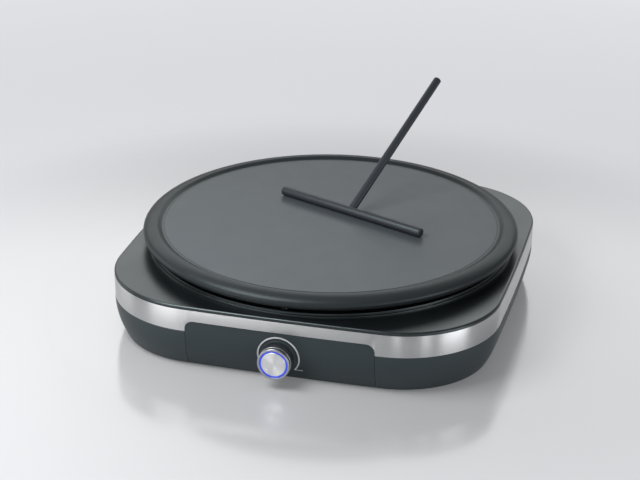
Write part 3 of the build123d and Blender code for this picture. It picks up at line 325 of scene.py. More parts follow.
# ------------------------------------------------------------------ finishes
class Shader:
    """Short way to write the nodes of one material."""

    def __init__(self, name: str) -> None:
        """Starts a material with one principled surface.

        Args:
            name: Name of the material.
        """
        self.material = bpy.data.materials.new(name)
        self.material.use_nodes = True
        self.tree = self.material.node_tree
        self.tree.nodes.clear()
        self.output = self.tree.nodes.new("ShaderNodeOutputMaterial")
        self.surface = self.tree.nodes.new("ShaderNodeBsdfPrincipled")
        self.tree.links.new(self.surface.outputs[0], self.output.inputs["Surface"])

    def node(self, kind: str, inputs: Optional[dict] = None, **settings: object) -> bpy.types.Node:
        """Adds a node.

        Args:
            kind: Name of the node's type, without its common start.
            inputs: Values or sockets for its inputs, by name or number.
            settings: Attributes to set on it.

        Returns:
            The new node.
        """
        made = self.tree.nodes.new("ShaderNode" + kind)
        for key, value in settings.items():
            setattr(made, key, value)
        for key, value in (inputs or {}).items():
            if isinstance(value, Socket):
                self.tree.links.new(value, made.inputs[key])
            else:
                made.inputs[key].default_value = value
        return made

    def compute(self, operation: str, *values: Socket | float) -> Socket:
        """Result of one operation on numbers or sockets."""
        return self.node("Math", dict(enumerate(values)), operation=operation).outputs[0]

    def ramp(self, value: Socket, start: float, end: float, low: float = 0.0,
             high: float = 1.0) -> Socket:
        """Lays one span of values out on another."""
        return self.node("MapRange", {0: value, 1: start, 2: end, 3: low, 4: high}).outputs[0]

    def mix(self, factor: Socket, first: Socket, second: Socket) -> Socket:
        """Mixes two surfaces; the factor is the share of the second."""
        return self.node("MixShader", {0: factor, 1: first, 2: second}).outputs[0]

    def place(self, stretch: Point3 = (1.0, 1.0, 1.0), mapped: bool = False) -> Socket:
        """Object coordinates, or the mesh's own run and width, stretched."""
        source = self.node("TexCoord").outputs["UV" if mapped else "Object"]
        return self.node("Mapping", {0: source, "Scale": stretch}).outputs[0]

    def shifted(self, source: Socket, place: Point3) -> Socket:
        """Coordinates moved by a place in metres."""
        return self.node("Mapping", {0: source, "Location": place}).outputs[0]

    def masked(self, vector: Socket, mask: Point3) -> Socket:
        """A vector with each part multiplied by the mask's."""
        return self.node("VectorMath", {0: vector, 1: mask}, operation="MULTIPLY").outputs[0]

    def length(self, vector: Socket) -> Socket:
        """Length of a vector."""
        return self.node("VectorMath", {0: vector}, operation="LENGTH").outputs["Value"]

    def noise(self, scale: float, detail: float = 3.0, rough: float = 0.5,
              stretch: Point3 = (1.0, 1.0, 1.0), mapped: bool = False) -> Socket:
        """Grey noise whose scale counts features per metre.

        Args:
            scale: Features per metre.
            detail: Layers of finer noise.
            rough: How strong the finer layers are.
            stretch: Factors on the coordinates.
            mapped: Whether it follows the mesh's own run and width.

        Returns:
            The noise as a factor from 0 to 1.
        """
        inputs = {"Vector": self.place(stretch, mapped), "Scale": scale, "Detail": detail,
                  "Roughness": rough}
        return self.node("TexNoise", inputs).outputs["Fac"]

    def spread(self, factor: Socket, low: float = 0.0, high: float = 1.0) -> Socket:
        """Noise, which lies about its middle, laid out between two values."""
        return self.ramp(factor, *NOISE_SPAN, low, high)

    def blend(self, factor: Socket, first: Colour, second: Colour) -> Socket:
        """Colour between two colours.

        Args:
            factor: Share of the second colour.
            first: Colour at 0.
            second: Colour at 1.

        Returns:
            The mixed colour.
        """
        made = self.node("Mix", data_type="RGBA")
        self.tree.links.new(factor, made.inputs["Factor"])
        made.inputs["A"].default_value = (*first, 1.0)
        made.inputs["B"].default_value = (*second, 1.0)
        return made.outputs["Result"]

    def vary(self, factor: Socket, colour: Colour, dark: float, light: float = 1.0) -> Socket:
        """A colour that goes from a darker to a lighter share of itself."""
        return self.blend(factor, shade(colour, dark), shade(colour, light))

    def relief(self, *layers: tuple[Socket, float]) -> None:
        """Chains bumps from grey heights and depths in millimetres into the surface's normal.

        Args:
            layers: Height and depth of each bump, in order.
        """
        normal = None
        for height, depth in layers:
            inputs = {"Height": height, "Distance": depth * MM, "Strength": 1.0}
            if normal is not None:
                inputs["Normal"] = normal
            normal = self.node("Bump", inputs).outputs[0]
        self.tree.links.new(normal, self.surface.inputs["Normal"])

    def set(self, **values: object) -> None:
        """Sets or links the surface's inputs; an underscore in a name stands for a space.

        Args:
            values: Numbers, colours or sockets by the inputs' names.
        """
        for key, value in values.items():
            socket = self.surface.inputs[key.replace("_", " ")]
            if isinstance(value, Socket):
                self.tree.links.new(value, socket)
            elif isinstance(value, tuple) and len(value) == 3 and socket.type == "RGBA":
                socket.default_value = (*value, 1.0)
            else:
                socket.default_value = value


def shade(colour: Colour, factor: float) -> Colour:
    """A colour made lighter or darker."""
    return tuple(min(c * factor, 1.0) for c in colour)


@dataclass(frozen=True)
class Finish:
    """What every finish has: a name, a colour and a gloss.

    Noises are given as features per metre, layers of finer noise and how strong these are;
    depths of a relief are in millimetres; tones are shares of the colour, dark and light.
    """

    name: str
    colour: Colour
    roughness: float = 0.4

    def material(self) -> bpy.types.Material:
        """Makes the finish's material.

        Returns:
            The new material.
        """
        shader = Shader(self.name)
        self.dress(shader)
        return shader.material

    def gloss(self, shader: Shader, factor: Socket, less: float, more: float) -> Socket:
        """The finish's roughness, lowered and raised by a factor."""
        return shader.spread(factor, self.roughness - less, self.roughness + more)

    def dress(self, shader: Shader) -> None:
        """Writes the finish's nodes; each kind of finish has its own."""
        raise NotImplementedError


@dataclass(frozen=True)
class CoatedCasting(Finish):
    """Sprayed non-stick coating on a turned casting."""

    pitch: float = 1.1
    turning: float = 0.002
    wander: Point3 = (0.4, 1.0, 3.0)
    peel: Point2 = (900.0, 2.0)
    orange_peel: float = 0.012
    specks: Point2 = (2600.0, 1.0)
    fleck: float = 0.05
    cloud: Point2 = (60.0, 3.0)
    uneven: float = 0.02
    # Painted shade: beyond the crest radius, and on faces whose normal points less up than the
    # level span, the colour drops to the flank share.
    crest: float = 149.5
    shade_fade: float = 2.5
    level: Point2 = (0.955, 0.9995)
    flank: float = 0.3
    gleam: float = 0.25
    tint: Colour = (0.82, 0.97, 1.0)

    def dress(self, shader: Shader) -> None:
        """Fine peel, faint turned rings and specks; painted shade darkens the rim beyond its crest
        radius and every face that tilts away from up.

        Args:
            shader: Material to write on.
        """
        centred = shader.shifted(shader.place(), (0.0, -CENTRE_Y * MM, 0.0))
        wave = {"Vector": centred, "Scale": 1 / (self.pitch * MM) / WAVE_UNITS,
                "Distortion": self.wander[0], "Detail": self.wander[1],
                "Detail Scale": self.wander[2]}
        rings = shader.node("TexWave", wave, wave_type="RINGS", rings_direction="Z").outputs["Fac"]
        normal = shader.node("NewGeometry").outputs["Normal"]
        upward = shader.node("SeparateXYZ", {0: normal}).outputs[2]
        # Painted shade: the top factor is 1 only on upward faces inside the crest radius; elsewhere
        # the colour falls to the flank share.
        reach = shader.length(shader.masked(centred, (1.0, 1.0, 0.0)))
        inside = shader.ramp(reach, self.crest * MM, (self.crest + self.shade_fade) * MM, 1.0, 0.0)
        top = shader.compute("MULTIPLY", shader.ramp(upward, *self.level), inside)
        specks = shader.spread(shader.noise(*self.specks), -self.fleck, self.fleck)
        gloss = self.gloss(shader, shader.noise(*self.cloud), self.uneven, self.uneven)
        colour = shader.vary(shader.compute("ADD", top, specks), self.colour, self.flank)
        shader.set(Base_Color=colour, Roughness=gloss, Specular_Tint=self.tint,
                   Specular_IOR_Level=self.gleam)
        shader.relief((shader.noise(*self.peel), self.orange_peel), (rings, self.turning))


@dataclass(frozen=True)
class Moulded(Finish):
    """Moulded plastic with a textured or a polished tool face."""

    texture: float = 0.02
    grain: float = 1300.0
    gleam: float = 0.5
    fineness: Point2 = (2.0, 0.6)
    slow: Point2 = (22.0, 2.0)
    uneven: float = 0.03
    sink: float = 0.02
    shares: Point3 = (0.25, 0.75, 0.1)
    tones: Point2 = (0.9, 1.1)
    tint: Colour = (0.82, 0.97, 1.0)

    def dress(self, shader: Shader) -> None:
        """Spark-eroded grain with slow changes in gloss and tone.

        Args:
            shader: Material to write on.
        """
        grain, slow = shader.noise(self.grain, *self.fineness), shader.noise(*self.slow)
        low, high, fine = self.shares
        tone = shader.compute("ADD", shader.spread(slow, low, high),
                              shader.spread(grain, -fine, fine))
        gloss = self.gloss(shader, slow, self.uneven, self.uneven)
        shader.set(Base_Color=shader.vary(tone, self.colour, *self.tones), Roughness=gloss,
                   Specular_Tint=self.tint, Specular_IOR_Level=self.gleam)
        shader.relief((grain, self.texture), (slow, self.sink))


@dataclass(frozen=True)
class BrushedSheet(Finish):
    """Sheet metal brushed along its run."""

    depth: float = 0.006
    stretched: float = 0.93
    turned: float = 0.25
    streaks: Point3 = (1.0, 4.0, 0.65)
    streak_scale: Point3 = (45.0, 7000.0, 1.0)
    bands: Point3 = (1.0, 2.0, 0.5)
    band_scale: Point3 = (12.0, 900.0, 1.0)
    tones: Point2 = (0.86, 1.06)
    uneven: Point2 = (0.04, 0.06)

    def dress(self, shader: Shader) -> None:
        """Long fine streaks along the run, with uneven gloss.

        Args:
            shader: Material to write on.
        """
        streak = shader.noise(*self.streaks, self.streak_scale, mapped=True)
        band = shader.noise(*self.bands, self.band_scale, mapped=True)
        tangent = shader.node("Tangent", direction_type="UV_MAP", uv_map="run").outputs[0]
        shader.set(Base_Color=shader.vary(shader.spread(streak), self.colour, *self.tones),
                   Metallic=1.0, Roughness=self.gloss(shader, band, *self.uneven),
                   Anisotropic=self.stretched, Anisotropic_Rotation=self.turned, Tangent=tangent)
        shader.relief((streak, self.depth))


@dataclass(frozen=True)
class TurnedFace(Finish):
    """Metal face spun on the knob's axis."""

    knob_height: float = 23.0
    lines: Point2 = (5200.0, 3.0)
    depth: float = 0.004
    stretched: float = 0.85
    tones: Point2 = (0.9, 1.05)

    def dress(self, shader: Shader) -> None:
        """Concentric tool lines that fan the light out from the middle.

        Args:
            shader: Material to write on.
        """
        place = shader.shifted(shader.node("TexCoord").outputs["Object"],
                               (0.0, 0.0, -self.knob_height * MM))
        split = shader.node("SeparateXYZ", {0: place})
        squares = [shader.compute("POWER", split.outputs[i], 2.0) for i in (0, 2)]
        radius = shader.compute("SQRT", shader.compute("ADD", *squares))
        across = shader.node("CombineXYZ", {0: radius, 1: split.outputs[1]}).outputs[0]
        lines = shader.node("TexNoise", {"Vector": across, "Scale": self.lines[0],
                                         "Detail": self.lines[1]}).outputs["Fac"]
        outward = shader.masked(place, (1.0, 0.0, 1.0))
        tangent = shader.node("VectorTransform", {0: outward}, vector_type="VECTOR",
                              convert_from="OBJECT", convert_to="WORLD").outputs[0]
        shader.set(Base_Color=shader.vary(shader.spread(lines), self.colour, *self.tones),
                   Metallic=1.0, Roughness=self.roughness, Anisotropic=self.stretched,
                   Tangent=tangent)
        shader.relief((lines, self.depth))


@dataclass(frozen=True)
class PlatedMetal(Finish):
    """Plated, polished or bare metal without a brushed direction."""

    mottle: float = 0.05
    stain: float = 0.0
    cloud: Point3 = (90.0, 4.0, 0.6)
    grain: Point2 = (700.0, 3.0)
    uneven: Point2 = (0.06, 0.08)
    marks: Point2 = (0.002, 0.02)

    def dress(self, shader: Shader) -> None:
        """Mottled gloss, a little staining and rolling marks.

        Args:
            shader: Material to write on.
        """
        cloud, fine = shader.noise(*self.cloud), shader.noise(*self.grain)
        tone = shader.vary(shader.spread(cloud), self.colour, 1 - self.mottle - self.stain,
                           1 + self.mottle)
        shader.set(Base_Color=tone, Metallic=1.0,
                   Roughness=self.gloss(shader, fine, *self.uneven))
        shader.relief((fine, self.marks[0] + self.marks[1] * self.mottle))


@dataclass(frozen=True)
class SoftRubber(Finish):
    """Moulded rubber or silicone."""

    bloom: Point2 = (0.15, 0.5)
    cloud: Point3 = (60.0, 4.0, 0.6)
    pebbles: Point2 = (1800.0, 2.0)
    depth: float = 0.02
    tones: Point2 = (0.85, 1.35)
    uneven: Point2 = (0.05, 0.07)

    def dress(self, shader: Shader) -> None:
        """Dusty bloom over a fine pebble.

        Args:
            shader: Material to write on.
        """
        cloud, pebble = shader.noise(*self.cloud), shader.noise(*self.pebbles)
        shader.set(Base_Color=shader.vary(shader.spread(cloud), self.colour, *self.tones),
                   Roughness=self.gloss(shader, pebble, *self.uneven),
                   Sheen_Weight=self.bloom[0], Sheen_Roughness=self.bloom[1])
        shader.relief((pebble, self.depth))


@dataclass(frozen=True)
class GlazedCeramic(Finish):
    """Glazed ceramic."""

    glaze: Point2 = (0.6, 0.08)
    specks: Point2 = (1500.0, 1.0)
    dark: float = 0.9
    ripples: Point2 = (250.0, 2.0)
    depth: float = 0.02

    def dress(self, shader: Shader) -> None:
        """Specks under a clear glaze.

        Args:
            shader: Material to write on.
        """
        specks = shader.spread(shader.noise(*self.specks))
        shader.set(Base_Color=shader.vary(specks, self.colour, self.dark),
                   Roughness=self.roughness, Coat_Weight=self.glaze[0],
                   Coat_Roughness=self.glaze[1])
        shader.relief((shader.noise(*self.ripples), self.depth))


@dataclass(frozen=True)
class BoardLaminate(Finish):
    """Circuit board laminate with its woven glass showing."""

    threads: float = 1800.0
    tones: Point2 = (0.85, 1.15)
    lacquer: Point2 = (0.4, 0.15)
    ripples: Point2 = (400.0, 2.0)
    depths: Point2 = (0.004, 0.01)

    def dress(self, shader: Shader) -> None:
        """Square weave under a thin lacquer.

        Args:
            shader: Material to write on.
        """
        checks = {"Vector": shader.place(), "Scale": self.threads}
        weave = shader.node("TexChecker", checks).outputs["Fac"]
        shader.set(Base_Color=shader.vary(weave, self.colour, *self.tones),
                   Roughness=self.roughness, Coat_Weight=self.lacquer[0],
                   Coat_Roughness=self.lacquer[1])
        shader.relief((weave, self.depths[0]), (shader.noise(*self.ripples), self.depths[1]))


@dataclass(frozen=True)
class ClearPlastic(Finish):
    """Clear or tinted plastic that light passes through."""

    haze: float = 0.12
    clearness: float = 0.8
    bending: float = 1.49
    flow: Point2 = (180.0, 2.0)
    dark: float = 0.95
    uneven: float = 0.1
    ripples: Point2 = (700.0, 2.0)
    depth: float = 0.004

    def dress(self, shader: Shader) -> None:
        """Flow lines in slightly hazy plastic.

        Args:
            shader: Material to write on.
        """
        flow = shader.noise(*self.flow)
        shader.set(Base_Color=shader.vary(flow, self.colour, self.dark),
                   Roughness=shader.spread(flow, self.haze, self.haze + self.uneven),
                   IOR=self.bending, Transmission_Weight=self.clearness)
        shader.relief((shader.noise(*self.ripples), self.depth))


@dataclass(frozen=True)
class LitPlastic(Finish):
    """Translucent plastic with lamps behind it."""

    glow: Colour = (0.030, 0.060, 0.60)
    strength: float = 1.0
    cloud: Point2 = (420.0, 2.0)
    tones: Point2 = (0.85, 1.2)
    depth: float = 0.01

    def dress(self, shader: Shader) -> None:
        """Light from within, a little cloudy.

        Args:
            shader: Material to write on.
        """
        cloud = shader.noise(*self.cloud)
        light = shader.vary(shader.spread(cloud), self.glow, *self.tones)
        shader.set(Base_Color=self.colour, Roughness=self.roughness, Emission_Color=light,
                   Emission_Strength=self.strength)
        shader.relief((cloud, self.depth))


@dataclass(frozen=True)
class WireJacket(Finish):
    """Insulation of a wire."""

    streaks: Point2 = (900.0, 2.0)
    dulling: Point2 = (40.0, 3.0)
    tones: Point2 = (0.88, 1.1)
    uneven: Point2 = (0.05, 0.08)
    depth: float = 0.01

    def dress(self, shader: Shader) -> None:
        """Drawn streaks and slight dulling.

        Args:
            shader: Material to write on.
        """
        streak, dull = shader.noise(*self.streaks), shader.spread(shader.noise(*self.dulling))
        shader.set(Base_Color=shader.vary(dull, self.colour, *self.tones),
                   Roughness=self.gloss(shader, streak, *self.uneven))
        shader.relief((streak, self.depth))


FINISHES: tuple[Finish, ...] = (
    CoatedCasting("coated_casting", (0.066, 0.077, 0.083), 0.38),
    Moulded("cover_plastic", (0.005, 0.006, 0.007), 0.32, texture=0.006, gleam=0.75),
    Moulded("housing_plastic", (0.030, 0.038, 0.041), 0.48, texture=0.004, grain=900.0),
    Moulded("panel_plastic", (0.026, 0.034, 0.037), 0.50, texture=0.004, grain=900.0),
    Moulded("base_plastic", (0.030, 0.031, 0.033), 0.5, texture=0.03),
    Moulded("block_plastic", (0.70, 0.68, 0.62), 0.45),
    Moulded("dial_print", (0.60, 0.61, 0.62), 0.4, texture=0.004),
    Moulded("knob_plastic", (0.018, 0.020, 0.022), 0.28, texture=0.003),
    Moulded("spreader_plastic", (0.022, 0.023, 0.028), 0.45, texture=0.006, grain=1600.0),
    BrushedSheet("trim_steel", (0.64, 0.645, 0.65), 0.36),
    TurnedFace("cap_aluminium", (0.96, 0.96, 0.96), 0.36),
    PlatedMetal("knob_chrome", (0.48, 0.48, 0.50), 0.32, mottle=0.02),
    PlatedMetal("zinc_steel", (0.55, 0.56, 0.57), 0.38, mottle=0.10),
    PlatedMetal("screw_steel", (0.50, 0.50, 0.52), 0.30, mottle=0.08),
    PlatedMetal("pan_steel", (0.58, 0.59, 0.60), 0.35, mottle=0.08),
    PlatedMetal("element_sheath", (0.16, 0.15, 0.14), 0.45, mottle=0.20, stain=0.1),
    PlatedMetal("terminal_brass", (0.70, 0.55, 0.27), 0.30, mottle=0.08),
    PlatedMetal("copper", (0.72, 0.38, 0.24), 0.28, mottle=0.10, stain=0.08),
    SoftRubber("gland_rubber", (0.020, 0.020, 0.021), 0.62),
    SoftRubber("foot_rubber", (0.022, 0.022, 0.023), 0.66),
    SoftRubber("grommet_rubber", (0.33, 0.08, 0.05), 0.55),
    GlazedCeramic("ceramic", (0.78, 0.75, 0.68), 0.25),
    BoardLaminate("board_laminate", (0.03, 0.20, 0.08), 0.35),
    ClearPlastic("window_plastic", (0.80, 0.86, 0.96), haze=0.7),
    ClearPlastic("lamp_lens", (0.55, 0.65, 1.0), haze=0.6),
    LitPlastic("light_plastic", (0.02, 0.03, 0.12), 0.3),
    WireJacket("wire_brown", (0.16, 0.06, 0.025), 0.42),
    WireJacket("wire_blue", (0.02, 0.10, 0.42), 0.42),
    WireJacket("wire_green", (0.11, 0.36, 0.05), 0.42),
    WireJacket("wire_white", (0.72, 0.72, 0.70), 0.42),
)


class Workshop:
    """Keeps one material per slot and puts pieces in their places."""

    def __init__(self) -> None:
        """Makes every finish's material once."""
        self.materials = {finish.name: finish.material() for finish in FINISHES}

    def fit(self, piece: bpy.types.Object, slot: str, body: str, nodes: Sequence[str]) -> None:
        """Dresses a piece, lets it ride on a body and stand for solids.

        Args:
            piece: The piece.
            slot: Name of its finish.
            body: Name of the body that it moves with.
            nodes: Names of the solids that it stands for.
        """
        self.dress(piece, slot)
        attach(piece, body)
        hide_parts(*nodes)
        faces = len(piece.data.polygons)
        LOG.info("built %s on %s in %s: %d faces", piece.name, body, slot, faces)

    def dress(self, piece: bpy.types.Object, slot: str) -> None:
        """Gives a piece one material."""
        piece.data.materials.clear()
        piece.data.materials.append(self.materials[slot])


# ------------------------------------------------------------------ housing outline
@dataclass(frozen=True)
class Station:
    """One upright line on the housing's side: the arc it stands on, and where on that arc."""

    centre: Point2
    radius: float
    heading: float
    fixed_x: Optional[float] = None

    def at(self, inset: float) -> Point2:
        """The point at a depth under the side, in plan.

        Args:
            inset: Depth under the side.

        Returns:
            The point, in plan.
        """
        reach = self.radius - inset
        if self.fixed_x is None:
            return polar(reach, self.heading, self.centre)
        aside = self.fixed_x - self.centre[0]
        return self.fixed_x, self.centre[1] - math.sqrt(reach**2 - aside**2)


@dataclass(frozen=True)
class HousingOutline:
    """Rounded square with bowed sides, in plan, and the sizes that its shells share."""

    half_width: float = 168.6
    half_depth: float = 166.3
    bow: float = 4.6
    corner_radius: float = 85.0
    belly: float = 35.0
    belly_radius: float = 66.2
    band_top: float = 54.4
    opening_half: float = 80.3
    opening_top: float = 44.5
    column: Point2 = (130.0, 128.0)
    side_column: float = 150.0
    corner_steps: int = 44
    side_steps: int = 26
    edge_steps: int = 4
    fitting_rounds: int = 30

    @property
    def front_y(self) -> float:
        """Where the front's middle lies along Y."""
        return CENTRE_Y - self.half_depth

    @property
    def rear_y(self) -> float:
        """Where the rear's middle lies along Y."""
        return CENTRE_Y + self.half_depth

    def arcs(self) -> tuple[float, float, Point2, float, float]:
        """Fits corners of a fixed radius between the bowed sides.

        Returns:
            Radii of the front and the sides, the right rear corner's centre, and half the angle
            of the front's arc and of a side's arc, in degrees.
        """
        c, d, r = self.half_width - self.bow, self.half_depth - self.bow, self.corner_radius
        front = (c**2 + self.bow**2) / (2 * self.bow)
        side = (d**2 + self.bow**2) / (2 * self.bow)
        x, y = c - r, d - r
        for _ in range(self.fitting_rounds):
            y = math.sqrt((front - r) ** 2 - x**2) - (front - self.half_depth)
            x = math.sqrt((side - r) ** 2 - y**2) - (side - self.half_width)
        front_half = math.degrees(math.asin(x / (front - r)))
        return front, side, (x, y), front_half, math.degrees(math.asin(y / (side - r)))

    def around(self, edge: float) -> list[Station]:
        """Stations from the front at x = edge round the rear to the front at x = -edge.

        Args:
            edge: Half the width of the gap left at the front.

        Returns:
            Stations in order round the housing.
        """
        front, side, (x, y), front_half, side_half = self.arcs()
        limit = front * math.sin(math.radians(front_half))
        r, corner, flank = self.corner_radius, self.corner_steps, self.side_steps
        spans = [((x, -y), r, -90 + front_half, -side_half, corner),
                 ((self.half_width - side, 0), side, -side_half, side_half, flank),
                 ((x, y), r, side_half, 90 - front_half, corner),
                 ((0, self.half_depth - front), front, 90 - front_half, 90 + front_half, flank),
                 ((-x, y), r, 90 + front_half, 180 - side_half, corner),
                 ((side - self.half_width, 0), side, 180 - side_half, 180 + side_half, flank),
                 ((-x, -y), r, 180 + side_half, 270 - front_half, corner)]
        stations = self.front(spaced(edge, limit, self.edge_steps)[:-1])
        for (cx, cy), radius, start, end, steps in spans:
            centre = (cx, CENTRE_Y + cy)
            stations += [Station(centre, radius, a) for a in spaced(start, end, steps)[:-1]]
        return stations + self.front(spaced(-limit, -edge, self.edge_steps))

    def front(self, spots: Sequence[float]) -> list[Station]:
        """Stations on the front at the given distances from its middle."""
        radius = self.arcs()[0]
        return [Station((0, self.front_y + radius), radius, -90, x) for x in spots]

    def curl(self, depth: float, height: float) -> float:
        """How far in from the widest line the face lies, at a depth under the skin and a height."""
        drop = max(self.belly - height, 0.0)
        return self.belly_radius - math.sqrt((self.belly_radius - depth) ** 2 - drop**2)

    def columns(self) -> list[Point2]:
        """Axes of the screw columns, counted from the plate's axis."""
        x, y = self.column
        return [(-x, -y), (-x, y), (x, -y), (x, y), (-self.side_column, 0), (self.side_column, 0)]


def stand(stations: Sequence[Station], profile: Sequence[Point2]) -> list[list[Point3]]:
    """Rings of (inset, height) points at each station."""
    return [[(*s.at(inset), height) for inset, height in profile] for s in stations]


@dataclass(frozen=True)
class PanelFixing:
    """The tabs that hold the panel, one at each side, and their screws in the housing."""

    rib: Point2 = (71.0, 73.0)
    rib_root: float = 1.6
    rib_steps: int = 12
    ear: Point2 = (73.0, 92.0)
    heights: Point2 = (12.0, 40.0)
    parting: float = 25.5
    depths: Point2 = (12.5, 14.5)
    screw_x: float = 87.0
    screw_heights: Point2 = (17.0, 34.0)
    hole_radius: float = 1.6
    edge_steps: int = 8
    hole_steps: int = 32


OUTLINE = HousingOutline()
FIXING = PanelFixing()


# ------------------------------------------------------------------ sub-assemblies
@dataclass
class SubAssembly:
    """What every sub-assembly has: the body that it rides on and how sharp its edges stay.

    Sizes are in millimetres and heights count from the floor; spots count from the plate's axis.
    """

    body: str = "appliance"
    crease: float = 30.0

    def fit(self, shop: Workshop, draft: MeshDraft, slot: str, node: str) -> None:
        """Makes a draft's object and lets it stand for one solid."""
        shop.fit(draft.build(self.crease), slot, self.body, [node])

    def build(self, shop: Workshop) -> None:
        """Builds the pieces; each sub-assembly has its own way."""
        raise NotImplementedError


@dataclass
class GriddlePlate(SubAssembly):
    """Round cast plate with a rolled rim, its element channel and its bosses."""

    radius: float = 165.0
    flat_radius: float = 146.3
    crest_radius: float = 153.2
    top: float = 75.0
    crest_rise: float = 1.95
    rim_half_height: float = 6.37
    rim_steps: int = 36
    dip: Point2 = (1.7, 0.3)
    dip_slopes: Point3 = (-0.3, 0.07, 0.0)
    dip_steps: int = 10
    flat_rings: tuple[float, ...] = (NEAR_AXIS, 40.0, 90.0, 130.0, 142.0, 145.4)
    underside: float = 69.0
    inner_foot: float = 148.0
    underside_edge: float = 144.5
    channel: Point3 = (105.0, 7.5, 4.0)
    groove: Point2 = (64.6, 4.15)
    groove_steps: int = 16
    turning_steps: int = 288
    sunk: float = 0.2
    post_boss: Boss = Boss(6.5, 2.0, 62.0, 7.0)
    post_circle: Circle = (78.0, 3, 30.0)
    clamp_boss: Boss = Boss(4.6, 1.5, 60.6, 7.0)
    clamp_circle: Circle = (90.0, 4, 45.0)
    front_saddle_boss: Boss = Boss(3.6, 1.5, 66.5, 7.0)
    front_saddle_y: float = -42.0
    rear_saddle_boss: Boss = Boss(3.6, 1.5, 66.8, 7.0)
    rear_saddle_y: float = 45.0
    saddle_reach: float = 8.5
    crease: float = 40.0

    def rise(self) -> list[Point2]:
        """The face from the flat, down its shallow dip and up to the crest.

        Returns:
            Points of the face as (radius, height).
        """
        dip_run, dip_drop = self.dip
        knots = [(self.flat_radius, self.top), (self.flat_radius + dip_run, self.top - dip_drop),
                 (self.crest_radius, self.top + self.crest_rise)]
        slopes, out = self.dip_slopes, []
        for (x0, y0), (x1, y1), m0, m1 in zip(knots, knots[1:], slopes, slopes[1:]):
            h = x1 - x0
            for k in range(self.dip_steps):
                t = k / self.dip_steps
                # Shares of the two heights and the two slopes in a cubic through the knots.
                a, b = 2 * t**3 - 3 * t**2 + 1, t**3 - 2 * t**2 + t
                c, d = 3 * t**2 - 2 * t**3, t**3 - t**2
                out.append((x0 + h * t, a * y0 + b * h * m0 + c * y1 + d * h * m1))
        return out

    def bed(self) -> list[Point2]:
        """The element's channel from its outer edge over the round groove to its inner edge.

        Returns:
            Points of the channel as (radius, height).
        """
        centre, half, depth = self.channel
        middle, radius = self.groove
        floor = self.underside - depth
        start = math.atan2(floor - middle, math.sqrt(radius**2 - (floor - middle) ** 2))
        arc = [(centre + radius * math.cos(a), middle + radius * math.sin(a))
               for a in spaced(start, math.pi - start, self.groove_steps)]
        return [(centre + half, self.underside), (centre + half, floor), *arc,
                (centre - half, floor), (centre - half, self.underside)]

    def profile(self) -> list[Point2]:
        """The whole section from the axis over the top and back under the plate.

        Returns:
            Points of the section as (radius, height).
        """
        bead, height = self.radius - self.crest_radius, self.rim_half_height
        middle = self.top + self.crest_rise - height
        angles = [math.radians(a) for a in spaced(90.0, -90.0, self.rim_steps)]
        rim = [(self.crest_radius + bead * math.cos(a), middle + height * math.sin(a))
               for a in angles]
        flat = [(r, self.top) for r in self.flat_rings]
        return [*flat, *self.rise(), *rim, (self.inner_foot, middle - height),
                (self.underside_edge, self.underside), *self.bed(), (NEAR_AXIS, self.underside)]

    def saddle_spots(self, y: float) -> list[Point2]:
        """Axes of the two bosses of a saddle, counted from the plate's axis."""
        return [(0.0, y - self.saddle_reach), (0.0, y + self.saddle_reach)]

    def build(self, shop: Workshop) -> None:
        """Turns the plate and adds the bosses under it.

        Args:
            shop: Where pieces are dressed and put in place.
        """
        draft = MeshDraft("plate_casting")
        draft.lathe(self.profile(), upright(), count=self.turning_steps, closed=False)
        bosses = [(self.post_boss, polar_spots(self.post_circle)),
                  (self.clamp_boss, polar_spots(self.clamp_circle)),
                  (self.front_saddle_boss, self.saddle_spots(self.front_saddle_y)),
                  (self.rear_saddle_boss, self.saddle_spots(self.rear_saddle_y))]
        for boss, spots in bosses:
            for spot in spots:
                boss.add(draft, spot, self.underside + self.sunk)
        self.fit(shop, draft, "coated_casting", "griddle_plate")


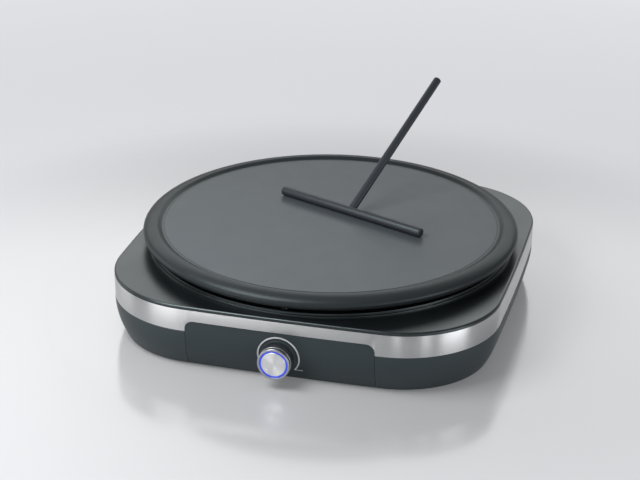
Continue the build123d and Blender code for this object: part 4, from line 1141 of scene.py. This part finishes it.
@dataclass
class TopCover(SubAssembly):
    """Flat cover with a rounded lip, a stepped ring round the pan's opening and a rib."""

    low: float = OUTLINE.band_top
    deck: float = 57.3
    lip_round: float = 1.9
    lip_steps: int = 6
    deck_insets: Point2 = (2.6, 5.5)
    collar_outer: float = 160.0
    collar_inner: float = 155.0
    collar_step: float = 1.5
    collar_lead: float = 0.8
    shoulder_rise: float = 2.3
    collar_rise: float = 4.2
    collar_round: float = 0.6
    fillets: Point3 = (0.25, 0.2, 0.3)
    fillet_steps: int = 4
    well_radius: float = 142.0
    skirt: Point3 = (4.2, 6.0, 49.4)
    skirt_lead: float = 6.0
    front_half: float = 80.0
    front_steps: int = 20
    sunk: float = 0.2
    column_boss: Boss = Boss(4.5, 1.75, 30.0, 22.4)
    pan_boss: Boss = Boss(4.5, 1.5, 46.4, 8.0)
    pan_circle: Circle = (148.2, 6, 30.0)

    def collar(self) -> list[Point2]:
        """The stepped ring and the deck inside it, down to the well.

        Returns:
            Points of the section as (radius, height).
        """
        deck, outer, edge = self.deck, self.collar_outer, self.collar_round
        step, top = outer - self.collar_step, deck + self.collar_rise
        foot, inner_foot, brink = self.fillets
        return rounded([(outer, deck, foot), (outer, deck + self.shoulder_rise, edge),
                        (step, deck + self.shoulder_rise, inner_foot), (step, top, edge),
                        (self.collar_inner, top, edge), (self.collar_inner, deck, inner_foot),
                        (self.well_radius, deck, brink), (self.well_radius, self.low, 0.0)],
                       closed=False, steps=self.fillet_steps)

    def rings(self) -> list[tuple[bool, float, float]]:
        """(on the circle or not, radius or inset, height) round the whole section.

        Returns:
            Points of the section in order.
        """
        deck, r = self.deck, self.lip_round
        angles = [math.radians(a) for a in spaced(0.0, 90.0, self.lip_steps)]
        skirt_out, skirt_in, skirt_low = self.skirt
        lip = [(r - r * math.cos(a), deck - r + r * math.sin(a)) for a in angles]
        edge = [(0.0, self.low), *lip, *((inset, deck) for inset in self.deck_insets)]
        rib = [(skirt_in + self.skirt_lead, self.low), (skirt_in, self.low), (skirt_in, skirt_low),
               (skirt_out, skirt_low), (skirt_out, self.low)]
        turned = [(self.collar_outer + self.collar_lead, deck), *self.collar()]
        return [*((False, *point) for point in edge), *((True, *point) for point in turned),
                *((False, *point) for point in rib)]

    def build(self, shop: Workshop) -> None:
        """Skins the cover and adds the bosses under it.

        Args:
            shop: Where pieces are dressed and put in place.
        """
        across = spaced(-self.front_half, self.front_half, self.front_steps)
        rings = []
        for station in OUTLINE.around(OUTLINE.opening_half) + OUTLINE.front(across):
            side = station.at(0)
            rings.append([(*(towards((0.0, CENTRE_Y), value, side) if circular
                             else station.at(value)), z) for circular, value, z in self.rings()])
        draft = MeshDraft("cover_shell")
        draft.grid(rings, closed=True, looped=True)
        for boss, spots in ((self.column_boss, OUTLINE.columns()),
                            (self.pan_boss, polar_spots(self.pan_circle))):
            for spot in spots:
                boss.add(draft, spot, self.low + self.sunk)
        self.fit(shop, draft, "cover_plastic", "top_cover")


@dataclass
class TrimBand(SubAssembly):
    """Bright sheet band round the housing, notched over the control panel."""

    thickness: float = 0.8
    notch_corner: float = 7.3
    notch_steps: int = 24
    corner_steps: int = 10
    edge_round: float = 0.15

    def foot(self, x: float) -> float:
        """Height of the notch's edge at a distance from the middle."""
        return arch(x, OUTLINE.opening_half, OUTLINE.opening_top, self.notch_corner)

    def section(self, low: float) -> list[Point2]:
        """The band's section above a height."""
        r, t, high = self.edge_round, self.thickness, OUTLINE.band_top
        return rounded([(0, low, r), (0, high, r), (t, high, r), (t, low, r)], steps=2)

    def build(self, shop: Workshop) -> None:
        """Skins the band round the rear, then over the notch.

        Args:
            shop: Where pieces are dressed and put in place.
        """
        half, corner = OUTLINE.opening_half, self.notch_corner
        turn = bend(half - corner, corner, self.corner_steps)
        flat = spaced(corner - half, half - corner, self.notch_steps)
        rings = stand(OUTLINE.around(half), self.section(OUTLINE.belly))
        for station in OUTLINE.front([*(-x for x in reversed(turn)), *flat, *turn]):
            rings += stand([station], self.section(self.foot(station.fixed_x)))
        draft = MeshDraft("trim_band_strip")
        draft.grid(rings, closed=True, looped=True)
        self.fit(shop, draft, "trim_steel", "trim_band")


@dataclass
class LowerHousing(SubAssembly):
    """Shell that curls in towards the floor, open at the front for the panel."""

    wall: float = 2.5
    base_edge: float = 1.5
    sill_inset: float = 12.0
    ledge: Point3 = (22.0, 4.0, 6.5)
    belly_bevel: float = 0.5
    recess: float = 1.1
    outer_steps: int = 22
    inner_steps: int = 14
    opening_steps: int = 24
    column: tuple[float, float, float, float] = (5.5, 1.85, 4.0, 30.0)
    column_steps: int = 40
    tab_boss: Point3 = (3.4, 1.5, 1.5)
    tab_sag: float = 1.3
    gland: Point2 = (60.0, 20.0)
    slot_half: float = 6.5
    slot_zone: Point2 = (140.0, 30.0)
    pad: Point3 = (12.0, 3.0, 7.6)
    pad_steps: int = 6

    def section(self) -> list[Point2]:
        """The full section, from the outer curl over the rim and back along the ledge.

        Returns:
            Points of the section as (inset, height).
        """
        belly, top, back = OUTLINE.belly, OUTLINE.band_top, self.recess + self.wall
        reach, ledge_low, ledge_top = self.ledge
        outer = [(OUTLINE.curl(0, z), z)
                 for z in spaced(self.base_edge, belly - self.belly_bevel, self.outer_steps)]
        inner = [(OUTLINE.curl(self.wall, z), z)
                 for z in spaced(belly, ledge_top, self.inner_steps)]
        return [*outer, (self.belly_bevel, belly), (self.recess, belly), (self.recess, top),
                (back, top), (back, belly + self.recess), *inner, (reach, ledge_top),
                (reach, ledge_low), (self.sill_inset, ledge_low), (self.sill_inset, self.base_edge)]

    def build(self, shop: Workshop) -> None:
        """Skins the shell, the strips over and under the opening, and the columns.

        Args:
            shop: Where pieces are dressed and put in place.
        """
        half, back = OUTLINE.opening_half, self.recess + self.wall
        reach, ledge_low, ledge_top = self.ledge
        draft = MeshDraft("housing_shell")
        draft.capped(stand(OUTLINE.around(half), self.section()))
        middle = OUTLINE.front(spaced(-half, half, self.opening_steps))
        for near, low, far, high in ((self.recess, OUTLINE.opening_top, back, OUTLINE.band_top),
                                     (self.sill_inset, ledge_low, reach, ledge_top)):
            strip = [(near, low), (near, high), (far, high), (far, low)]
            draft.grid(stand(middle, strip), closed=True)
        radius, bore, low, high = self.column
        for spot in OUTLINE.columns():
            draft.lathe([(radius, low), (radius, high), (bore, high), (bore, low)],
                        upright(*spot), count=self.column_steps)
        self.add_tab_bosses(draft)
        self.add_pad(draft)
        piece = draft.build(self.crease)
        self.cut_slot(piece)
        shop.fit(piece, "housing_plastic", self.body, ["lower_housing"])

    def add_tab_bosses(self, draft: MeshDraft) -> None:
        """Adds the bosses that take the panel's screws.

        Args:
            draft: Mesh to add them to.
        """
        radius, bore, floor = self.tab_boss
        end = FIXING.depths[0]
        for side in (-1, 1):
            for height in FIXING.screw_heights:
                root = OUTLINE.curl(0, height) + self.tab_sag + self.wall / 2
                profile = [(radius, -root), (radius, -end), (bore, -end), (bore, -root - floor)]
                draft.lathe(profile, facing(side * FIXING.screw_x, height),
                            count=FIXING.hole_steps, closed=False)

    def add_pad(self, draft: MeshDraft) -> None:
        """Adds the pad round the slot of the cord's gland.

        Args:
            draft: Mesh to add it to.
        """
        half, corner, thick = self.pad
        slot, inner = self.slot_half, half - corner
        shape = [(-slot, -half)]
        for cx, cz, start in ((-1, -1, 270), (-1, 1, 180), (1, 1, 90), (1, -1, 0)):
            shape += [polar(corner, a, (cx * inner, cz * inner))
                      for a in spaced(start, start - 90, self.pad_steps)]
        shape += [(slot, -half), (slot, slot), (-slot, slot)]
        x0, z0 = self.gland
        draft.capped([[(x0 + x, OUTLINE.rear_y - depth, z0 + z) for x, z in shape]
                      for depth in (thick, 0.0)])

    def rear_faces(self, work: bmesh.types.BMesh, reach: float) -> list[bmesh.types.BMFace]:
        """Faces of the shell's rear near the slot's middle.

        Args:
            work: The shell's mesh.
            reach: Distance from the slot's middle, in metres.

        Returns:
            The faces.
        """
        x, behind = self.gland[0] * MM, self.slot_zone[0] * MM
        middles = [(face, face.calc_center_median()) for face in work.faces]
        return [face for face, at in middles if at.y > behind and abs(at.x - x) < reach]

    def cut_slot(self, piece: bpy.types.Object) -> None:
        """Opens the shell's rear for the gland, down to the lower edge.

        Args:
            piece: The shell, which is changed.
        """
        x, half = self.gland[0] * MM, self.slot_half * MM
        top = self.gland[1] * MM + half
        work = bmesh.new()
        work.from_mesh(piece.data)
        for point, normal in (((x - half, 0, 0), (1, 0, 0)), ((x + half, 0, 0), (1, 0, 0)),
                              ((0, 0, top), (0, 0, 1))):
            near = self.rear_faces(work, self.slot_zone[1] * MM)
            parts = {part for face in near for part in (face, *face.edges, *face.verts)}
            bmesh.ops.bisect_plane(work, geom=list(parts), dist=CUT_TOLERANCE,
                                   plane_co=point, plane_no=normal)
        inside = [f for f in self.rear_faces(work, half) if f.calc_center_median().z < top]
        bmesh.ops.delete(work, geom=inside, context="FACES")
        work.to_mesh(piece.data)
        work.free()


@dataclass
class ControlPanel(SubAssembly):
    """Panel let into the front, with the knob's pedestal and its fixings behind."""

    half_width: float = 80.0
    top: float = 44.2
    corner: float = 7.0
    low: float = 1.5
    wall: float = 2.5
    brim: float = 0.4
    knob_height: float = 23.0
    hole_radius: float = 12.4
    patch: Point2 = (21.0, 18.0)
    rows_below: tuple[float, ...] = (0.0, 0.45)
    rows_above: tuple[float, ...] = (2.35, 2.7, 3.0)
    patch_steps: int = 12
    side_steps: int = 10
    corner_steps: int = 9
    loops: tuple[float, ...] = (0.0, 0.3, 0.6, 0.85, 1.0)
    pedestal: Point3 = (14.6, 0.6, 9.0)
    pedestal_rounds: Point2 = (0.35, 0.2)
    pedestal_steps: int = 128
    posts: tuple[Point3, ...] = ((32.0, 3.6, 20.5), (19.5, 2.7, 13.8))
    post_bore: Point3 = (1.5, 2.6, 5.6)
    post_steps: int = 32
    crease: float = 35.0

    def ceiling(self, x: float) -> float:
        """Height of the panel's top edge at a distance from the middle."""
        return arch(x, self.half_width, self.top, self.corner)

    def face(self, x: float, z: float, depth: float) -> Point3:
        """Point on the panel at a depth under its front."""
        return (*OUTLINE.front([x])[0].at(OUTLINE.curl(depth, z)), z)

    def height(self, x: float, row: float) -> float:
        """Height of a row: up to 1 below the knob's patch, up to 2 on it, up to 3 above it.

        Args:
            x: Distance from the middle.
            row: Number of the row, whole numbers at the patch's edges.

        Returns:
            Height above the floor.
        """
        low = self.knob_height - self.patch[1]
        high = min(self.knob_height + self.patch[1], self.ceiling(x) - self.brim)
        if row <= 1:
            return self.low + (low - self.low) * row
        if row <= 2:
            return low + (high - low) * (row - 1)
        return high + (self.ceiling(x) - high) * (row - 2)

    def patch_border(self, xs: Sequence[float], rows: Sequence[float]) -> list[Point2]:
        """Points round the patch that carries the knob's hole.

        Args:
            xs: Distances of the patch's columns from the middle, from left to right.
            rows: Numbers of the patch's rows, from the lowest up.

        Returns:
            Points in order round the patch, as (distance from the middle, height).
        """
        left, right = xs[0], xs[-1]
        border = [(x, self.height(x, rows[0])) for x in xs[:-1]]
        border += [(right, self.height(right, row)) for row in rows[:-1]]
        border += [(x, self.height(x, rows[-1])) for x in xs[:0:-1]]
        return border + [(left, self.height(left, row)) for row in rows[:0:-1]]

    def skin(self, draft: MeshDraft, depth: float) -> list[Point3]:
        """Adds the front or the back face, with a round hole for the spindle.

        Args:
            draft: Draft that takes the faces.
            depth: Depth of this face under the front.

        Returns:
            The points along the panel's outer edge, in order.
        """
        wide, inner = self.patch[0], self.half_width - self.corner
        patch_xs = spaced(-wide, wide, self.patch_steps)
        outside = spaced(wide, inner, self.side_steps)[1:]
        outside += bend(inner, self.corner, self.corner_steps)
        xs = [*(-x for x in reversed(outside)), *patch_xs, *outside]
        patch_rows = spaced(1.0, 2.0, self.patch_steps)
        rows = [*self.rows_below, *patch_rows, *self.rows_above]
        table = [[self.face(x, self.height(x, row), depth) for row in rows] for x in xs]
        first, last = len(outside), len(outside) + self.patch_steps
        low, high = len(self.rows_below), len(self.rows_below) + self.patch_steps
        draft.grid(table[: first + 1])
        draft.grid(table[last:])
        draft.grid([column[: low + 1] for column in table[first : last + 1]])
        draft.grid([column[high:] for column in table[first : last + 1]])
        loops = []
        for step in self.loops:
            loop = []
            for x, z in self.patch_border(patch_xs, patch_rows):
                hole_x, hole_z = towards((0.0, self.knob_height), self.hole_radius, (x, z))
                loop.append(self.face(x + (hole_x - x) * step, z + (hole_z - z) * step, depth))
            loops.append(loop)
        draft.grid(loops, closed=True)
        edge = [column[-1] for column in table] + list(reversed(table[-1][:-1]))
        return edge + [column[0] for column in reversed(table[:-1])] + table[0][1:-1]

    def build(self, shop: Workshop) -> None:
        """Skins both faces, joins them round the edge, and adds pedestal, tabs and posts.

        Args:
            shop: Where pieces are dressed and put in place.
        """
        draft = MeshDraft("panel_shell")
        draft.grid([self.skin(draft, 0.0), self.skin(draft, self.wall)], closed=True)
        radius, proud, behind = self.pedestal
        outer_round, inner_round = self.pedestal_rounds
        pedestal = rounded([(radius, -behind, 0.0), (radius, proud, outer_round),
                            (self.hole_radius, proud, inner_round),
                            (self.hole_radius, -behind, 0.0)], steps=4)
        draft.lathe(pedestal, facing(0.0, self.knob_height), count=self.pedestal_steps)
        bore, root, floor = self.post_bore
        for spot, radius, depth in self.posts:
            profile = [(radius, -root), (radius, -depth), (bore, -depth), (bore, -floor)]
            for x in (-spot, spot):
                draft.lathe(profile, facing(x, self.knob_height), self.post_steps, closed=False)
        for side in (-1, 1):
            self.add_tab(draft, side)
        self.fit(shop, draft, "panel_plastic", "control_panel")

    def stood(self, shape: Sequence[Point2], side: int, depth: float) -> list[Point3]:
        """A shape of (distance from the middle, height) stood up at a depth on one side."""
        return [(side * x, OUTLINE.front_y + depth, z) for x, z in shape]

    def add_tab(self, draft: MeshDraft, side: int) -> None:
        """Adds one fixing tab: a rib behind the panel and the ear that the screws pull on.

        Args:
            draft: Mesh to add to.
            side: -1 for the left, 1 for the right.
        """
        (low, high), (near, far), steps = FIXING.heights, FIXING.ear, FIXING.edge_steps
        rib = [(OUTLINE.curl(FIXING.rib_root, z), z) for z in spaced(low, high, FIXING.rib_steps)]
        rib += [(FIXING.depths[1], high), (FIXING.depths[1], low)]
        draft.capped([[(side * x, OUTLINE.front_y + d, z) for d, z in rib] for x in FIXING.rib])
        outline = rectangle((near, low), (far, high), 1)
        draft.grid([self.stood(outline, side, depth) for depth in FIXING.depths], closed=True)
        holes = [(FIXING.screw_x, height) for height in FIXING.screw_heights]
        halves = [rectangle((near, low), (far, FIXING.parting), steps),
                  rectangle((near, FIXING.parting), (far, high), steps)]
        for depth in FIXING.depths:
            for border, hole in zip(halves, holes):
                rim = [towards(hole, FIXING.hole_radius, point) for point in border]
                draft.grid([self.stood(shape, side, depth) for shape in (border, rim)],
                           closed=True)
        for x, z in holes:
            bore = [(FIXING.hole_radius, -depth) for depth in FIXING.depths]
            draft.lathe(bore, facing(side * x, z), FIXING.hole_steps, closed=False)


@dataclass(frozen=True)
class Turning:
    """One turned ring of the knob and its section of (radius, distance in front, rounding)."""

    name: str
    slot: str
    node: str
    section: tuple[Point3, ...]


KNOB_RINGS = (
    Turning("knob_skirt_turned", "knob_plastic", "knob_skirt",
            ((11.5, 1.2, 0.1), (12.7, 1.2, 0.2), (12.7, 3.2, 0.2), (13.4, 3.2, 0.4),
             (13.4, 8.6, 0.1), (13.0, 8.6, 0.1), (13.0, 12.2, 0.1), (12.1, 12.2, 0.1),
             (12.1, 1.8, 0.1), (11.5, 1.8, 0.1))),
    Turning("knob_ring_turned", "knob_chrome", "knob_ring",
            ((13.0, 8.6, 0.05), (13.7, 8.6, 0.3), (13.7, 10.0, 0.3), (13.0, 10.0, 0.05))),
    Turning("knob_bezel_turned", "knob_chrome", "knob_bezel",
            ((12.1, 12.2, 0.05), (13.7, 12.2, 0.25), (13.7, 14.0, 0.6), (12.1, 14.0, 0.15))),
    Turning("light_ring_turned", "light_plastic", "light_ring",
            ((9.2, 1.8, 0.1), (12.0, 1.8, 0.1), (12.0, 13.85, 0.15), (10.7, 13.85, 0.15),
             (10.7, 2.8, 0.1), (9.2, 2.8, 0.1))),
)


@dataclass
class Knob(SubAssembly):
    """Turned knob: black skirt, bright ring and bezel, light ring and spun cap."""

    body: str = "knob"
    height: float = 23.0
    ring_steps: int = 160
    cap_face: float = 13.8
    cap_back: float = 12.1
    cap_radius: float = 10.6
    cap_chamfer: float = 0.4
    cap_pitch: float = 0.3
    cap_steps: int = 224
    cap_crease: float = 35.0
    dimple_place: Point2 = (7.6, 220.0)
    dimple_radius: float = 0.8
    dimple_depth: float = 0.35

    def build(self, shop: Workshop) -> None:
        """Turns every ring, then the cap.

        Args:
            shop: Where pieces are dressed and put in place.
        """
        for ring in KNOB_RINGS:
            draft = MeshDraft(ring.name)
            draft.lathe(rounded(ring.section), facing(0.0, self.height), count=self.ring_steps)
            self.fit(shop, draft, ring.slot, ring.node)
        self.build_cap(shop)

    def build_cap(self, shop: Workshop) -> None:
        """Turns the cap with a chamfered edge and presses its dimple.

        Args:
            shop: Where pieces are dressed and put in place.
        """
        place, spot = facing(0.0, self.height), polar(*self.dimple_place)
        flat = self.cap_radius - self.cap_chamfer
        radii = [NEAR_AXIS, *(self.cap_pitch * i for i in range(1, round(flat / self.cap_pitch))),
                 flat]
        back = [(self.cap_radius, self.cap_face - self.cap_chamfer),
                (self.cap_radius, self.cap_back), (NEAR_AXIS, self.cap_back)]
        rings = []
        for i in range(self.cap_steps):
            a = 2 * math.pi * i / self.cap_steps
            ring = []
            for r in radii:
                away = math.dist((r * math.cos(a), r * math.sin(a)), spot)
                sink = self.dimple_depth * max(1 - (away / self.dimple_radius) ** 2, 0.0)
                ring.append(place(r, a, self.cap_face - sink))
            rings.append(ring + [place(r, a, h) for r, h in back])
        draft = MeshDraft("knob_cap_spun")
        draft.grid(rings, looped=True)
        shop.fit(draft.build(self.cap_crease), "cap_aluminium", self.body, ["knob_cap"])


@dataclass
class Spreader(SubAssembly):
    """T-shaped batter spreader that lies on the plate."""

    body: str = "spreader"
    crease: float = 35.0
    bar_length: float = 153.2
    bar_radius: float = 4.1
    bar_round: float = 1.2
    turn: float = -23.0
    middle: Point3 = (14.0, 21.95, 79.4)
    notch: Point3 = (22.0, 1.6, 2.2)
    handle_radius: float = 3.6
    handle_length: float = 158.0
    handle_round: float = 1.5
    handle_edge: float = 0.2
    handle_rings: Point2 = (40.0, 90.0)
    spigot: Point2 = (1.6, 3.3)
    tilt: float = 34.2
    steps: int = 64

    def axes(self) -> tuple[Vector, Vector, Vector]:
        """Directions along the bar, along the handle, and across both.

        Returns:
            The three directions.
        """
        a, rise = math.radians(self.turn), math.radians(self.tilt)
        along = Vector((math.cos(a), math.sin(a), 0))
        across = Vector((-math.sin(a), math.cos(a), 0))
        way = across * math.cos(rise) + Vector((0, 0, math.sin(rise)))
        return along, way, along.cross(way)

    def rod(self, shop: Workshop, name: str, node: str, rings: list[list[Point3]]) -> None:
        """Skins a rod and closes its ends.

        Args:
            shop: Where pieces are dressed and put in place.
            name: Name of the piece.
            node: Name of the solid it stands for.
            rings: Rings of points along the rod.
        """
        draft = MeshDraft(name)
        draft.capped(rings)
        self.fit(shop, draft, "spreader_plastic", node)

    def build(self, shop: Workshop) -> None:
        """Builds the bar with its notch, then the handle with its spigot.

        Args:
            shop: Where pieces are dressed and put in place.
        """
        along, way, side = self.axes()
        middle, half, r = Vector(self.middle), self.bar_length / 2, self.bar_radius
        turns = [2 * math.pi * k / self.steps for k in range(self.steps)]
        width, depth, ramp = self.notch
        ends = [(s, q, 0.0) for s, q in shoulder(half, r, self.bar_round)]
        saddle = [(width / 2, r, depth), (width / 2 + ramp, r, 0.0), *ends]
        run = [*((-s, q, cut) for s, q, cut in reversed(saddle)), *saddle]
        rings = []
        for s, q, cut in run:
            ups = [min(q * math.cos(a), r - cut) for a in turns]
            rings.append([tuple(middle + along * s + way * up + side * (q * math.sin(a)))
                          for a, up in zip(turns, ups)])
        self.rod(shop, "spreader_bar_rod", "spreader_bar", rings)

        start, h, (thin, spigot) = r - depth, self.handle_radius, self.spigot
        steps = [(start - spigot, thin), (start, thin), (start, h - self.handle_edge),
                 (start + self.handle_edge, h), *((start + s, h) for s in self.handle_rings),
                 *shoulder(self.handle_length, h, self.handle_round)]
        rings = [[tuple(middle + way * s + along * (q * math.cos(a)) + side * (q * math.sin(a)))
                  for a in turns] for s, q in steps]
        self.rod(shop, "spreader_handle_rod", "spreader_handle", rings)


@dataclass
class CarriedSolids:
    """The solids whose own shape stays: they only get their finish."""

    def build(self, shop: Workshop) -> None:
        """Dresses every solid in the material of its slot.

        Args:
            shop: Where pieces are dressed and put in place.
        """
        for part in frame["record"]["subparts"]:
            shop.dress(frame["nodes"][part["node"]], part["material_slot"])
            LOG.info("dressed %s in %s", part["node"], part["material_slot"])


# ------------------------------------------------------------------ studio
@dataclass(frozen=True)
class SoftLight:
    """Where a soft light stands, its size, its strength and its colour."""

    place: Point3
    size: Point2
    strength: float
    colour: Colour = (1.0, 1.0, 1.0)


class Panel(Enum):
    """Soft lights of the studio."""

    OVERHEAD = SoftLight((-0.25, -0.3, 0.52), (0.4, 0.3), 3.5)
    REAR = SoftLight((-0.6, 2.4, 1.5), (4.4, 1.1), 26.0)
    FAR_LEFT = SoftLight((-1.6, 0.1, 0.4), (0.8, 0.4), 2.0)
    LEFT = SoftLight((-1.03, -1.3, 0.27), (0.92, 0.44), 4.0)
    FRONT = SoftLight((0.33, -1.62, 0.27), (0.12, 0.44), 0.8, (0.98, 0.99, 1.0))
    RIGHT = SoftLight((1.1, -1.3, 0.27), (0.16, 0.44), 1.3, (0.98, 0.99, 1.0))
    FAR_RIGHT = SoftLight((1.5, -0.55, 0.27), (0.8, 0.44), 6.4, (0.98, 0.99, 1.0))


@dataclass
class Floor:
    """Pale satin floor with an opening under the base; it can't be seen from below."""

    inset: float = 16.0
    front_spots: Point3 = (-60.0, 0.0, 60.0)
    reaches: tuple[float, ...] = (1.0, 1.4, 2.5, 5.0, 12.0, 45.0)
    colour: Colour = (0.38, 0.384, 0.392)
    far_colour: Colour = (0.08, 0.081, 0.083)
    colour_reach: Point2 = (0.5, 1.0)
    roughness: float = 0.6
    mirror: float = 0.23
    mirror_tint: Colour = (0.94, 0.95, 0.96)
    mirror_roughness: float = 0.15
    polish_reach: Point2 = (0.25, 0.46)
    bending: float = 1.45
    slant: Point2 = (0.035, 0.119)
    lift: Point2 = (0.12, 0.6)
    lift_reach: Point2 = (0.25, 1.15)
    lift_tint: Colour = (0.95, 0.965, 1.0)
    trade: float = 0.9

    def build(self) -> None:
        """Lays the floor round the base, faces up."""
        stations = OUTLINE.around(OUTLINE.opening_half) + OUTLINE.front(self.front_spots)
        rim = [station.at(self.inset) for station in stations]
        draft = MeshDraft("floor")
        draft.grid([[(x * k, CENTRE_Y + (y - CENTRE_Y) * k, 0.0) for x, y in rim]
                    for k in self.reaches], closed=True)
        piece = draft.build()
        piece.data.materials.append(self.material())
        for face in piece.data.polygons:
            if face.normal.z < 0:
                face.flip()

    def material(self) -> bpy.types.Material:
        """Satin near the base and plain further off, where it also lights up to its own tone.

        Returns:
            The new material.
        """
        shader = Shader("floor_satin")
        reach = shader.length(shader.place())
        tone = shader.blend(shader.ramp(reach, *self.colour_reach), self.colour, self.far_colour)
        shader.set(Base_Color=tone, Roughness=self.roughness, Specular_IOR_Level=0.0)
        gloss = {"Color": (*self.mirror_tint, 1.0), "Roughness": self.mirror_roughness}
        mirror = shader.node("BsdfGlossy", gloss).outputs[0]
        polish = shader.ramp(reach, *self.polish_reach, self.mirror, 0.0)
        fresnel = shader.node("Fresnel", {"IOR": self.bending}).outputs[0]
        share = shader.compute("MULTIPLY", polish, shader.ramp(fresnel, *self.slant))
        satin = shader.mix(share, shader.surface.outputs[0], mirror)

        near, far = (lift + self.trade * self.mirror for lift in self.lift)
        rise = shader.ramp(reach, *self.lift_reach, near, far)
        lift = shader.compute("MULTIPLY_ADD", polish, -self.trade, rise)
        path = shader.node("LightPath").outputs
        direct = shader.compute("MAXIMUM", path["Is Camera Ray"], path["Is Glossy Ray"])
        glow = {"Color": (*self.lift_tint, 1.0),
                "Strength": shader.compute("MULTIPLY", direct, lift)}
        lit = shader.node("AddShader", {0: satin, 1: shader.node("Emission", glow).outputs[0]})
        behind = shader.node("NewGeometry").outputs["Backfacing"]
        clear = shader.node("BsdfTransparent").outputs[0]
        shader.tree.links.new(shader.mix(behind, lit.outputs[0], clear),
                              shader.output.inputs["Surface"])
        return shader.material


@dataclass
class Studio:
    """Floor, soft lights, surroundings and the camera."""

    air: Colour = (0.83, 0.845, 0.865)
    air_light: float = 0.3
    backdrop_light: float = 1.0
    focal: float = 1818.2825
    azimuth: float = 14.46764
    elevation: float = 23.32853
    distance: float = 1.605652
    roll: float = 0.72443
    picture: Point2 = (640.0, 480.0)
    seen_at: Point2 = (330.711, 220.814)
    target: Point3 = (0.0, 0.00575, 0.075)
    sensor: float = 36.0
    clip: Point2 = (0.05, 60.0)

    def build(self) -> None:
        """Sets up floor, lights, surroundings and camera."""
        Floor().build()
        for light in Panel:
            self.lamp(light)
        self.world()
        self.camera()
        bpy.context.scene.view_settings.view_transform = "Standard"

    def lamp(self, panel: Panel) -> None:
        """Hangs one soft light aimed at the object.

        Args:
            panel: Which light.
        """
        light, name = panel.value, panel.name.lower()
        data = bpy.data.lights.new(name, "AREA")
        data.shape, data.energy, data.color = "RECTANGLE", light.strength, light.colour
        data.size, data.size_y = light.size
        lamp = bpy.data.objects.new(name, data)
        lamp.location = light.place
        aim = Vector(self.target) - Vector(light.place)
        lamp.rotation_euler = aim.to_track_quat("-Z", "Y").to_euler()
        bpy.context.scene.collection.objects.link(lamp)

    def world(self) -> None:
        """Surrounds the object with even pale light, brighter where the camera looks past it."""
        world = bpy.data.worlds.new("surroundings")
        bpy.context.scene.world = world
        world.use_nodes = True
        nodes, links = world.node_tree.nodes, world.node_tree.links
        around, backdrop = nodes["Background"], nodes.new("ShaderNodeBackground")
        for node, strength in ((around, self.air_light), (backdrop, self.backdrop_light)):
            node.inputs[0].default_value = (*self.air, 1.0)
            node.inputs[1].default_value = strength
        path, pick = nodes.new("ShaderNodeLightPath"), nodes.new("ShaderNodeMixShader")
        links.new(path.outputs["Is Camera Ray"], pick.inputs[0])
        links.new(around.outputs[0], pick.inputs[1])
        links.new(backdrop.outputs[0], pick.inputs[2])
        links.new(pick.outputs[0], nodes["World Output"].inputs["Surface"])

    def camera(self) -> None:
        """Places the camera so that the plate's middle is seen where it should be."""
        az, el, roll = (math.radians(v) for v in (self.azimuth, self.elevation, self.roll))
        back = Vector((math.sin(az) * math.cos(el), -math.cos(az) * math.cos(el), math.sin(el)))
        level = Vector((math.cos(az), math.sin(az), 0))
        rise = back.cross(level)
        right = level * math.cos(roll) + rise * math.sin(roll)
        up = rise * math.cos(roll) - level * math.sin(roll)
        across, down = (seen - side / 2 for seen, side in zip(self.seen_at, self.picture))
        aim = (-back - right * (across / self.focal) + up * (down / self.focal)).normalized()
        right = (right - aim * right.dot(aim)).normalized()
        data = bpy.data.cameras.new("camera")
        data.sensor_fit, data.sensor_width = "HORIZONTAL", self.sensor
        data.lens = self.focal / self.picture[0] * self.sensor
        data.clip_start, data.clip_end = self.clip
        camera = bpy.data.objects.new("camera", data)
        basis = camera.matrix_world.to_3x3()
        basis.col[0], basis.col[1], basis.col[2] = right, right.cross(aim), -aim
        matrix = basis.to_4x4()
        matrix.translation = Vector(self.target) + back * self.distance
        camera.matrix_world = matrix
        bpy.context.scene.collection.objects.link(camera)
        bpy.context.scene.camera = camera


def main() -> None:
    """Builds the crepe maker piece by piece, then the studio."""
    logging.basicConfig(level=logging.INFO, format="%(name)s: %(message)s")
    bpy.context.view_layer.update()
    shop = Workshop()
    CarriedSolids().build(shop)
    for part in (GriddlePlate(), TopCover(), TrimBand(), LowerHousing(), ControlPanel(), Knob(),
                 Spreader()):
        part.build(shop)
        LOG.info("finished %s", type(part).__name__)
    Studio().build()


if __name__ == "__main__":
    main()
